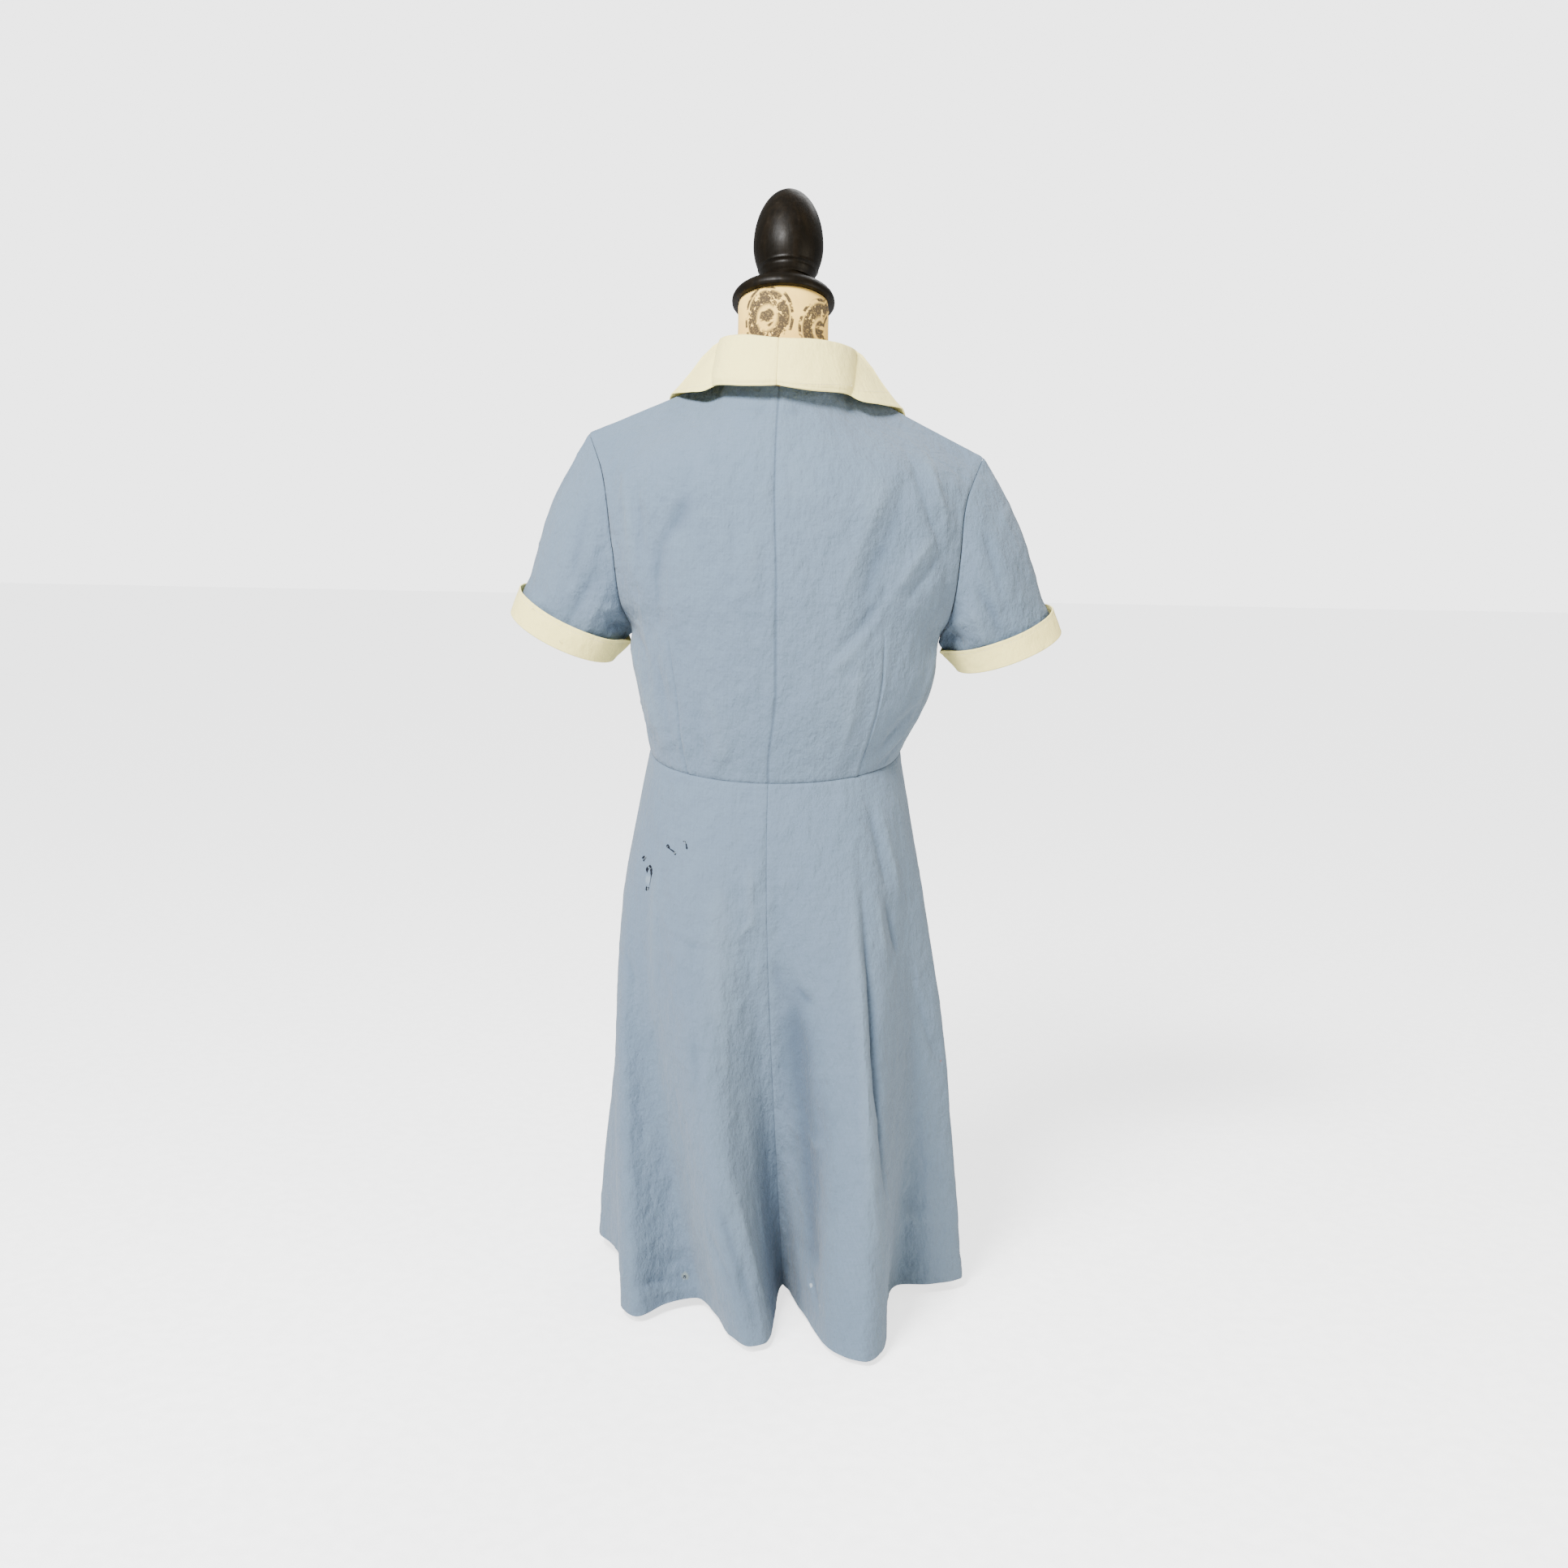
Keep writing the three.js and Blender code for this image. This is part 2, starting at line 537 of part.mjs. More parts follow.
// Middle of the collar's cloth: k from 0 at the neckline to 1 at the roll, and to 2 at the edge.
function collarPoint(q, k) {
  const stand = collarSize(q, "stand");
  const lean = collarSize(q, "lean");
  const foot = underCollar(q, 0);
  const flat = vec(foot.p.x, foot.p.y - FORM_NECK.y, 0).normalize();
  if (k <= 1) {
    const on = underCollar(Math.min(q + 0.01, 1), 0).p.sub(underCollar(Math.max(q - 0.01, 0), 0).p);
    const open = on.cross(foot.n).normalize();
    if (open.z < 0) open.negate();
    const clear = GAP + lerp(0.8, 1.5, ease(q, 0.26, 0.42));
    const base = foot.p.addScaledVector(foot.n, -CLOTH / 2).addScaledVector(open, clear);
    return base.add(vec(0, 0, stand * k)).addScaledVector(flat, lean * k * k);
  }
  const w = k - 1;
  const under = underCollar(q, w ** 1.25);
  const rise = (1 - w) ** 1.3;
  const bow = lean * rise + (lean * 0.18 + 1) * Math.sin(Math.PI * w) ** 0.5;
  const lift = collarSize(q, "lift") * Math.min(1, w * lerp(1.2, 4, ease(q, 0.15, 0.45)));
  return under.p
    .addScaledVector(under.n, lift)
    .add(vec(0, collarSize(q, "back") * w, (stand + GAP) * rise - collarSize(q, "drop") * w))
    .addScaledVector(flat, bow);
}

function collarPiece(name, left) {
  const outer = [];
  const inner = [];
  for (const k of [0, 0.35, 0.7, 0.93, 1.02, 1.12, 1.34, 1.56, 1.78, 2]) {
    const row = COLLAR_COLUMNS.map((q) => {
      const e = 0.01;
      const p = collarPoint(q, k);
      const on = collarPoint(q, Math.min(k + e, 2)).sub(collarPoint(q, Math.max(k - e, 0)));
      const along = collarPoint(Math.min(q + e, 1), k).sub(collarPoint(Math.max(q - e, 0), k));
      const n = along.cross(on).normalize();
      if (q === 0) {
        n.setX(0).normalize();
        p.x = GAP / 2;
      }
      return { p, n };
    });
    const half = COLLAR_CLOTH / 2;
    outer.push(row.map(({ p, n }) => hang(mirrored(p.clone().addScaledVector(n, half), left))));
    inner.push(row.map(({ p, n }) => hang(mirrored(p.clone().addScaledVector(n, -half), left))));
  }
  return wall(name, CREAM, outer, inner);
}

// ---- skirt --------------------------------------------------------------------------------------
// The hem folds, each with its angle: between seams they are spread by their length along the hem.
function placedFolds() {
  const seams = HEM_FOLDS.map((row, i) => (row.at === undefined ? -1 : i)).filter((i) => i >= 0);
  const placed = [];
  seams.forEach((from, k) => {
    const to = seams[k + 1] ?? HEM_FOLDS.length;
    const rows = [...HEM_FOLDS.slice(from, to), HEM_FOLDS[to % HEM_FOLDS.length]];
    const lengths = [0];
    for (let i = 1; i < rows.length; i++) {
      lengths.push(lengths[i - 1] + Math.hypot(rows[i].x - rows[i - 1].x, rows[i].y - rows[i - 1].y));
    }
    const total = lengths[lengths.length - 1];
    rows.slice(0, -1).forEach((row, i) => {
      placed.push({ ...row, a: rows[0].at + (SIDE * lengths[i]) / total });
    });
  });
  return placed;
}
const FOLDS = placedFolds();
const FOLD_RING = [
  ...FOLDS.slice(-2).map((row) => ({ ...row, a: row.a - 360 })),
  ...FOLDS,
  ...FOLDS.slice(0, 2).map((row) => ({ ...row, a: row.a + 360 })),
];

// A plain skirt section without folds, at angle a and share v of the way down.
function skirtSection(a, v) {
  const turn = rad(a);
  const power = 2 / SQUARENESS;
  const x = Math.sin(turn);
  const y = Math.cos(turn);
  const size = (column) => through(SKIRT_SECTIONS, "v", column, v);
  return {
    x: Math.sign(x) * Math.abs(x) ** power * (x > 0 ? size("left") : size("right")),
    y: Math.sign(y) * Math.abs(y) ** power * (y > 0 ? size("back") : size("front")),
  };
}

// A point of the skirt at angle a and share v from the waist seam (0) to the hem (1).
function skirt(a, v) {
  const wrapped = ((a % 360) + 360) % 360;
  const waist = body(wrapped, 0);
  const plain = skirtSection(wrapped, v);
  const hem = skirtSection(wrapped, 1);
  const grown = clamp((v - FOLD_START) / (1 - FOLD_START), 0, 1) ** FOLD_GROWTH;
  const fold = (column) => through(FOLD_RING, "a", column, wrapped);
  return vec(
    plain.x + (fold("x") - hem.x) * grown,
    plain.y + (fold("y") - hem.y) * grown,
    lerp(waist.z, fold("z"), v),
  );
}

// Angles of a skirt panel's columns: at every fold and evenly between folds, by the hem's length.
function skirtAngles(from, to) {
  const angles = [from];
  const within = (row) => row.a >= from - 1e-6 && row.a <= to + 1e-6;
  const rows = [...FOLDS, { ...FOLDS[0], a: 360 }].filter(within);
  for (let i = 1; i < rows.length; i++) {
    const length = Math.hypot(rows[i].x - rows[i - 1].x, rows[i].y - rows[i - 1].y);
    const count = Math.max(1, Math.round(length / SKIRT_COLUMN));
    angles.push(...steps(rows[i - 1].a, rows[i].a, count).slice(1));
  }
  return angles;
}

function skirtPanel(name, from, to) {
  const outer = [];
  const inner = [];
  for (const v of [0, 0.06, 0.15, 0.26, 0.4, 0.55, 0.7, 0.85, 1]) {
    const rows = [[], []];
    for (const a of skirtAngles(from, to)) {
      const n = normal(skirt, a, v, from, to).negate();
      if (v === 0) n.setZ(0).normalize();
      const p = skirt(a, v);
      const end = a === from ? 1 : a === to ? -1 : 0;
      // A seam's two edges are square to it: the centre back is cut along X, the side seams along Y.
      if (end) {
        const seam = ((a % 360) + 360) % 360;
        const axis = seam === 0 ? "x" : "y";
        n[axis] = 0;
        n.normalize();
        p[axis] += (seam === 90 ? -end : end) * (GAP / 2);
      }
      if (v === 0) p.z -= GAP;
      rows[0].push(hang(p));
      rows[1].push(hang(p.clone().addScaledVector(n, -CLOTH)));
    }
    outer.push(rows[0]);
    inner.push(rows[1]);
  }
  return wall(name, BLUE, outer, inner);
}

// ---- buttons ------------------------------------------------------------------------------------
const BUTTONS = { count: 4, r: 6.5, thick: 2.6, low: 0.06, high: 0.56 };
function buttonPiece(index) {
  const t = lerp(BUTTONS.high, BUTTONS.low, index / (BUTTONS.count - 1));
  const profile = [
    new THREE.Vector2(0, 0),
    new THREE.Vector2(BUTTONS.r - 0.5, 0),
    new THREE.Vector2(BUTTONS.r, 0.8),
    new THREE.Vector2(BUTTONS.r, BUTTONS.thick - 0.6),
    new THREE.Vector2(BUTTONS.r - 0.8, BUTTONS.thick),
    new THREE.Vector2(BUTTONS.r - 2, BUTTONS.thick - 0.5),
    new THREE.Vector2(0, BUTTONS.thick - 0.5),
  ];
  const mesh = new THREE.Mesh(new THREE.LatheGeometry(profile, 14), BUTTON);
  mesh.name = `button_${index + 1}`;
  const n = normal(body, -180, t, -190, -170);
  const seat = hang(body(180, t).addScaledVector(n, OVERLAP_LIFT.over + GAP));
  mesh.position.copy(seat);
  mesh.quaternion.setFromUnitVectors(vec(0, 1, 0), n);
  return mesh;
}

// ---- dress form ---------------------------------------------------------------------------------
// The form's surface inside the bodice, close under the shoulders and further in elsewhere.
function formPoint(a, t) {
  const away = Math.abs(a);
  const low = away > SIDE ? SIDE : 0;
  const n = normal(body, away, t, low, low + SIDE);
  const share = (away > SIDE ? 180 - away : away) / SIDE;
  const near = ease(t, FORM_INSET.from, FORM_INSET.to) * ease(share, 0.3, 0.48);
  const p = body(away, t).addScaledVector(n, -CLOTH - lerp(FORM_INSET.body, FORM_INSET.shoulder, near));
  return a < 0 ? vec(-p.x, p.y, p.z) : p;
}

// The form's hip below the waist, inside the plain skirt section.
function hipPoint(a, v) {
  const p = skirtSection(a, v);
  const length = Math.hypot(p.x, p.y);
  const share = (length - FORM_HIP.inset) / length;
  const z = lerp(body(0, 0).z, 15, v) + 10;
  return vec(p.x * share, p.y * share, z);
}

function formTorso() {
  const shares = FORM_SHARES;
  const back = shares.map((s) => SIDE * s);
  const front = [...shares].reverse().map((s) => 180 - SIDE * s);
  const half = [...back, ...front];
  const angles = [...half, ...half.slice(1, -1).reverse().map((a) => -a)];
  const columns = angles.length;
  const rings = [];
  for (const v of [FORM_HIP.from, FORM_HIP.from * 0.97, 0.2, 0.1]) {
    const tuck = v === FORM_HIP.from ? 0.9 : 1;
    rings.push(angles.map((a) => hipPoint(a, v).multiply(vec(tuck, tuck, 1))));
  }
  for (const t of BODY_ROWS.filter((t) => t <= FORM_INSET.top)) {
    rings.push(angles.map((a) => hang(formPoint(a, t))));
  }
  const points = rings.flat();
  const triangles = [];
  const at = (j, i) => j * columns + ((i + columns) % columns);
  const quad = (a, b, c, d) => {
    const first = points[a].distanceTo(points[c]) <= points[b].distanceTo(points[d]);
    if (first) triangles.push([a, b, c], [a, c, d]);
    else triangles.push([b, c, d], [b, d, a]);
  };
  for (let j = 0; j < rings.length - 1; j++) {
    for (let i = 0; i < columns; i++) quad(at(j, i), at(j, i + 1), at(j + 1, i + 1), at(j + 1, i));
  }
  // The flat underside, a fan round its middle.
  const middle = points.push(vec(0, 0, rings[0][0].z)) - 1;
  for (let i = 0; i < columns; i++) triangles.push([at(0, i + 1), at(0, i), middle]);
  // Both shoulders close between the back row and the front row, out from the neck.
  const top = rings.length - 1;
  const n = shares.length;
  const neck = shares.indexOf(FORM_NECK.share);
  for (let i = neck; i < n - 1; i++) {
    quad(at(top, i), at(top, i + 1), at(top, 2 * n - 2 - i), at(top, 2 * n - 1 - i));
    quad(at(top, -i - 1), at(top, -i), at(top, i - 2 * n + 1), at(top, i - 2 * n + 2));
  }
  // The neck rises from the columns between the two neck points.
  const ring = [];
  for (let i = -neck; i <= neck; i++) ring.push(i);
  for (let i = 2 * n - 1 - neck; i <= 2 * n - 1 + neck; i++) ring.push(i);
  let below = ring.map((i) => at(top, i));
  const count = ring.length;
  const neckRings = [
    { z: FORM_NECK.root, grow: 1.05 },
    { z: FORM_NECK.foot, grow: 1 },
    { z: lerp(FORM_NECK.foot, FORM_NECK.top, 0.5), grow: 1 },
    { z: FORM_NECK.top, grow: 1 },
  ];
  for (const { z, grow } of neckRings) {
    const slant = FORM_NECK.slant * ease(z, FORM_NECK.foot - 30, FORM_NECK.top);
    const above = below.map((k, i) => {
      const source = points[at(top, ring[i])];
      const turn = Math.atan2(source.x - 0, source.y - FORM_NECK.y);
      const x = Math.sin(turn) * FORM_NECK.half * grow;
      const y = Math.cos(turn) * FORM_NECK.deep * grow;
      return points.push(vec(x, FORM_NECK.y + y, z + slant * y)) - 1;
    });
    for (let i = 0; i < count; i++) {
      const next = (i + 1) % count;
      quad(below[i], below[next], above[next], above[i]);
    }
    below = above;
  }
  const crown = points.push(vec(0, FORM_NECK.y, FORM_NECK.top)) - 1;
  for (let i = 0; i < count; i++) triangles.push([below[i], below[(i + 1) % count], crown]);
  return solid("form_torso", PRINTED, points, triangles);
}

// The black turned cap on the neck and its egg-shaped finial, both leaning forward with the neck.
function neckCapGroup() {
  const group = new THREE.Group();
  group.position.set(0, FORM_NECK.y, FORM_NECK.top + GAP + 0.1);
  group.rotation.x = Math.atan(FORM_NECK.slant);
  const spun = (name, outline) => {
    const mesh = new THREE.Mesh(new THREE.LatheGeometry(outline, 30), BLACK);
    mesh.name = name;
    mesh.rotation.x = Math.PI / 2;
    return mesh;
  };
  const rim = new THREE.SplineCurve([
    new THREE.Vector2(NECK_CAP.r - 1, -1),
    new THREE.Vector2(NECK_CAP.r + 1, NECK_CAP.rim * 0.4),
    new THREE.Vector2(NECK_CAP.r - 4, NECK_CAP.rim),
    new THREE.Vector2(NECK_CAP.stem + 10, NECK_CAP.dome - 6),
    new THREE.Vector2(NECK_CAP.stem, NECK_CAP.dome),
  ]);
  const cap = spun("neck_cap", [
    new THREE.Vector2(0, 0),
    new THREE.Vector2(NECK_CAP.r - 2, 0),
    ...rim.getPoints(9),
    new THREE.Vector2(0, NECK_CAP.dome),
  ]);
  const egg = [new THREE.Vector2(0, 0)];
  for (const share of steps(0, FINIAL.widest, 4)) {
    const r = lerp(FINIAL.foot, FINIAL.r, Math.sin((Math.PI / 2) * (share / FINIAL.widest)));
    egg.push(new THREE.Vector2(r, share * FINIAL.height));
  }
  for (const turn of steps(0, 90, 8).slice(1)) {
    const share = lerp(FINIAL.widest, 1, Math.sin(rad(turn)));
    egg.push(new THREE.Vector2(turn === 90 ? 0 : FINIAL.r * Math.cos(rad(turn)), share * FINIAL.height));
  }
  const finial = spun("finial", egg);
  finial.position.set(FINIAL.x, 0, NECK_CAP.dome + GAP);
  group.add(cap, finial);
  return group;
}

// ---- stand --------------------------------------------------------------------------------------
function upright(name, r, low, high, sides) {
  const mesh = new THREE.Mesh(new THREE.CylinderGeometry(r, r, high - low, sides), BLACK);
  mesh.name = name;
  mesh.rotation.x = Math.PI / 2;
  mesh.position.z = (low + high) / 2;
  return mesh;
}

// One plain leg, sloping from the hub to a flat foot on the floor.
function leg({ angle, reach }, index) {
  const outline = new THREE.Shape();
  const start = HUB.r + GAP;
  outline.moveTo(start, HUB.high - 50);
  outline.lineTo(reach - 24, 0);
  outline.lineTo(reach, 0);
  outline.lineTo(reach, 9);
  outline.quadraticCurveTo(reach - 45, 30, start, HUB.high - 12);
  const settings = { depth: LEG_THICK, bevelEnabled: false, curveSegments: 6 };
  const geometry = new THREE.ExtrudeGeometry(outline, settings);
  geometry.translate(0, 0, -LEG_THICK / 2);
  geometry.rotateX(Math.PI / 2);
  const mesh = new THREE.Mesh(geometry, BLACK);
  mesh.name = `stand_leg_${index + 1}`;
  mesh.rotation.z = rad(angle);
  return mesh;
}

// ---- the whole object ---------------------------------------------------------------------------
const root = new THREE.Group();
const hipZ = hipPoint(0, FORM_HIP.from).z;
root.add(
  backPanel("back_bodice_left", true),
  backPanel("back_bodice_right", false),
  frontPanel("front_bodice_left", true),
  frontPanel("front_bodice_right", false),
  sleevePiece("sleeve_left", true),
  sleevePiece("sleeve_right", false),
  cuffPiece("cuff_left", true),
  cuffPiece("cuff_right", false),
  collarPiece("collar_left", true),
  collarPiece("collar_right", false),
  skirtPanel("skirt_back_left", 0, 90),
  skirtPanel("skirt_front", 90, 270),
  skirtPanel("skirt_back_right", 270, 360),
  formTorso(),
  neckCapGroup(),
  upright("stand_pole", POLE.r, HUB.high + GAP, hipZ - GAP, 24),
  upright("stand_hub", HUB.r, 0, HUB.high, 32),
  ...LEGS.map(leg),
);
for (let i = 0; i < BUTTONS.count; i++) root.add(buttonPiece(i));

export default root;
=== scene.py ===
"""A short-sleeved waitress dress in blue cotton on a limbless dress form, dressed over its CAD frame.

Lengths in the tables are in millimetres and angles in degrees. Angle 0 is the dress's centre back, 90 its
left side seam and 180 its centre front; +Z is up and the front of the dress faces -Y.
"""

import json
import math

import bmesh
import bpy
import numpy as np
from mathutils import Matrix, Vector
from mathutils.bvhtree import BVHTree

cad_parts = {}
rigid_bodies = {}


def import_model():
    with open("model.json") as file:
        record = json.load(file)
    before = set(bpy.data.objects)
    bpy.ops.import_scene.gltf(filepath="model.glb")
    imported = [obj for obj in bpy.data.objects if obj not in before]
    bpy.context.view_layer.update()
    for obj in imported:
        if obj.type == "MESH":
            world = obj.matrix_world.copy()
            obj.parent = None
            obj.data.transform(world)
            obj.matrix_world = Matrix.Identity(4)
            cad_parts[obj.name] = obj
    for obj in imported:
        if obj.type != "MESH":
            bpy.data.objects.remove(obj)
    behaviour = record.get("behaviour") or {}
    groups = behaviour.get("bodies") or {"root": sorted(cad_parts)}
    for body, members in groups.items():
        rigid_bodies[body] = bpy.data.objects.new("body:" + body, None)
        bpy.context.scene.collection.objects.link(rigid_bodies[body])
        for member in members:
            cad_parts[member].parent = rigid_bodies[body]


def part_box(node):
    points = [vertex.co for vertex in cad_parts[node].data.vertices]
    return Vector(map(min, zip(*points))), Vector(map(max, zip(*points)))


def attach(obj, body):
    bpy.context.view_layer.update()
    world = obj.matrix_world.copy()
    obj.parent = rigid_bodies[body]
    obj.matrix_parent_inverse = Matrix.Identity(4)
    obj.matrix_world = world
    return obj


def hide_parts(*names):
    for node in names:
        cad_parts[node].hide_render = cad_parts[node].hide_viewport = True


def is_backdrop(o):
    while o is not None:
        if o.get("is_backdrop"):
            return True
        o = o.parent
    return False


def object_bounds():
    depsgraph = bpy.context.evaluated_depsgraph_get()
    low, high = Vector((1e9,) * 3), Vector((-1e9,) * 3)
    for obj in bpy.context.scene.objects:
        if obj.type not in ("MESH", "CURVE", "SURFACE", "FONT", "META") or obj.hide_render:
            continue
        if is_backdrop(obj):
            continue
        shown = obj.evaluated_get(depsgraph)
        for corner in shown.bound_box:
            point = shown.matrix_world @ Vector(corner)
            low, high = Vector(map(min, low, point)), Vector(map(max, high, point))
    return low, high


bl_info = {
    "name": "Waitress Dress",
    "version": (1, 0, 0),
    "blender": (4, 5, 0),
    "location": "View3D > Sidebar > Dress",
    "description": "Finishes a waitress dress on its dress form: cloth, sewing, wear, form and stage",
    "category": "Object",
}

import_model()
CAD_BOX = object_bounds()
MM = 0.001

# ---- cut of the dress, as in the frame -------
CLOTH = 1.6  # wall that a cloth node takes in the frame
GAP = 0.3
# Room left between the finished cloth of two panels at their seam, too little to see light through.
SEAM_SPACE = 0.02
SIDE = 90.0
SQUARENESS = 2.3
NECK_HALF = 58.0
NAPE = (62.0, 960.0)  # y, z
THROAT = (-50.0, 926.0)
NECK_POINT = (4.0, 973.0)
SHOULDER_TIP = (203.0, 4.0, 901.0)
NECK_SHARE = 0.33
NECKLINE_SHARE = 0.37
BACK_NECK_DROP = 0.012
V_LEVEL = 0.62
UNDERARM = 0.37
OVERLAP = 12.0
OVERLAP_LIFT = {"over": 1.5, "under": -1.5}
NECK_AXIS = 5.0  # y of the form's neck


def columns(names, *rows):
    """Rows of numbers as one array for each named column."""
    return dict(zip(names.split(), np.array(rows, float).T))


HANG = columns(
    "z tilt sway turn",
    (0, 0, 0, 0),
    (250, 0, 0, 0.04),
    (400, 0, 0, 0.06),
    (570, 0, 0, 0.07),
    (660, 0.009, -9, 0.085),
    (760, 0.024, -9, 0.09),
    (860, 0.039, -6, 0.1),
    (960, 0.045, -6, 0.13),
)
TURN_HALF = 190.0
LEVELS = columns(
    "t back front side half deep_back deep_front edge_back edge_front wrap",
    (0, 561, 585, 587, 131, 91, 97, 0, 0, 1),  # waist
    (0.13, 612, 626, 628, 146, 102, 120, 0, 0, 1),  # ribs
    (0.26, 665, 672, 667, 157, 110, 137, 0, 0, 1),  # bust
    (0.37, 712, 712, 704, 160, 115, 140, 0, 0, 1),  # underarm
    (0.47, 756, 748, 733, 169, 118, 132, 36, -34, 0.6),  # armhole foot
    (0.65, 822, 806, 790, 176, 115, 108, 54, -50, 0.35),  # blades
    (0.86, 896, 872, 858, 185, 96, 78, 44, -38, 0.25),  # yoke
)
SKIRT_SECTIONS = columns(
    "v left right back front",
    (0, 131, 131, 91, 97),
    (0.13, 146, 146, 108, 113),
    (0.25, 161, 160, 119, 126),
    (0.48, 176, 183, 131, 148),
    (0.8, 188, 202, 138, 166),
    (1, 192, 210, 140, 174),
)
FOLD_START = 0.06
FOLD_GROWTH = 1.4
SEAM_FOLDS = {0: 0.0, 10: 90.0, 17: 180.0, 23: 270.0}  # rows of HEM_FOLDS that lie on a seam's angle
HEM_FOLDS = columns(
    "x y z",
    (-19, 60, 14),  # centre back valley
    (-11, 118, 11),
    (-5, 176, 8),
    (14, 187, 8),  # left middle lobe
    (34, 166, 8),
    (50, 120, 9),
    (72, 90, 12),  # left shallow valley
    (102, 102, 11),
    (132, 127, 8),  # left lobe
    (149, 108, 10),
    (151, 46, 15),  # left side valley
    (171, -22, 17),
    (192, -64, 16),  # left side lobe
    (164, -98, 18),
    (160, -148, 15),  # left front lobe
    (114, -142, 15),
    (82, -188, 11),  # front lobe one
    (22, -158, 13),
    (-34, -196, 10),  # front lobe two
    (-82, -158, 13),
    (-128, -172, 11),  # front lobe three
    (-154, -118, 14),
    (-198, -90, 13),  # right front lobe
    (-192, -30, 13),
    (-214, 26, 12),  # right side lobe
    (-182, 47, 13),
    (-142, 53, 13),  # right valley
    (-127, 112, 11),
    (-121, 180, 8),
    (-101, 209, 6),  # right lobe
    (-68, 190, 7),
    (-46, 132, 9),
)
SLEEVE_END = {"x": 234, "y": -6, "z": 700, "half": 55, "slope": 0.414, "deep": 46, "drop": 11}
CUFF = {"depth": 25, "bottom": 2.2, "reach": 4.4, "flare": 1.8}
SHOULDER_Q = 0.36
COLLAR_END = 0.12
COLLAR_SECTIONS = columns(
    "q stand lean s t lift back drop",
    (0, 45, 8, 0, 0.985, 13, 7, 5.7),
    (0.1, 43, 8, 0.16, 0.976, 12, 11, 8.8),
    (0.19, 37, 9, 0.36, 0.972, 9, 24, 9.5),
    (0.27, 31, 9.5, 0.49, 0.978, 6, 13, 1.5),
    (0.36, 28, 9, 0.6, 1, 4.5, 0, 0),
    (0.5, 24, 8, 0.62, 0.95, 4.2, 0, 0),
    (0.75, 12, 5, 0.57, 0.83, 4, 0, 0),
    (1, 4, 2, 0.5, 0.7, 4, 0, 0),
)


# ---- mathematics of the surfaces -------------
def mix(a, b, share):
    """From a to b by a share."""
    return a + (b - a) * share


def ease(x, low, high):
    """A smooth step from 0 at low to 1 at high."""
    u = np.clip((x - low) / (high - low), 0, 1)
    return u * u * (3 - 2 * u)


def unit(v):
    """Vectors at length 1."""
    return v / np.maximum(np.linalg.norm(v, axis=-1, keepdims=True), 1e-12)


def through(keys, values, at):
    """Smooth values through rows at rising keys, flat beyond both ends and never past a row's value.
    values has one number for each key, or one for each key and each place."""
    at = np.asarray(at, float)
    flat = at.ravel()
    values = np.asarray(values, float).reshape(len(keys), -1)
    values = np.broadcast_to(values, (len(keys), flat.size))
    spans = np.diff(keys)
    secants = np.diff(values, axis=0) / spans[:, None]
    before = np.vstack([secants[:1], secants])
    after = np.vstack([secants, secants[-1:]])
    least = np.minimum(np.abs(before + after) / 2, 3 * np.minimum(np.abs(before), np.abs(after)))
    slopes = np.where(before * after <= 0, 0, np.sign(before) * least)
    row = np.clip(np.searchsorted(keys, flat, side="right") - 1, 0, len(keys) - 2)
    place = np.arange(flat.size)
    span = spans[row]
    u = np.clip((flat - keys[row]) / span, 0, 1)
    low, high = values[row, place], values[row + 1, place]
    rise = span * (u * (1 - u) ** 2 * slopes[row, place] + u * u * (u - 1) * slopes[row + 1, place])
    return ((1 + 2 * u) * (1 - u) ** 2 * low + u * u * (3 - 2 * u) * high + rise).reshape(at.shape)


def shoulder(s, front):
    """The body's top row: the neck's base, then the shoulder seam."""
    turn = np.clip(s / NECK_SHARE, 0, 1) * math.pi / 2
    base_y = np.where(front, THROAT[0], NAPE[0])
    base_z = np.where(front, THROAT[1], NAPE[1])
    neck = [
        NECK_HALF * np.sin(turn),
        mix(NECK_POINT[0], base_y, np.cos(turn)),
        mix(base_z, NECK_POINT[1], np.sin(turn) ** 1.7),
    ]
    along = np.clip((s - NECK_SHARE) / (1 - NECK_SHARE), 0, 1)
    seam = [
        mix(NECK_HALF, SHOULDER_TIP[0], along),
        np.full_like(s, SHOULDER_TIP[1]),
        mix(NECK_POINT[1], SHOULDER_TIP[2], along) - 5 * np.sin(along * math.pi) * (1 - along),
    ]
    return [np.where(s < NECK_SHARE, n, m) for n, m in zip(neck, seam)]


def body(a, t):
    """Points of the dress's body at angles a and levels t, from the waist seam (0) to the shoulder (1)."""
    a, t = np.broadcast_arrays(np.asarray(a, float), np.asarray(t, float))
    wrapped = ((a.ravel() + 540) % 360) - 180
    away = np.abs(wrapped)
    front = away > SIDE
    s = np.clip(np.where(front, 180 - away, away) / SIDE, 0, 1)
    turn = s * math.pi / 2
    power = 2 / SQUARENESS
    level = {name: values[:, None] for name, values in LEVELS.items()}
    reach = mix(s, np.sin(turn) ** power, level["wrap"])
    bow = mix(1 - s**2.2, np.maximum(np.cos(turn), 0) ** power, level["wrap"])
    deep = np.where(front, -level["deep_front"], level["deep_back"])
    edge = np.where(front, level["edge_front"], level["edge_back"])
    middle = np.where(front, level["front"], level["back"])
    sides = [level["half"] * reach, edge + (deep - edge) * bow, mix(middle, level["side"], s**1.6)]
    keys = np.append(LEVELS["t"], 1)
    p = [through(keys, np.vstack([rows, top]), t.ravel()) for rows, top in zip(sides, shoulder(s, front))]
    p[0] = np.where(wrapped < 0, -p[0], p[0])
    return np.stack(p, -1).reshape(a.shape + (3,))


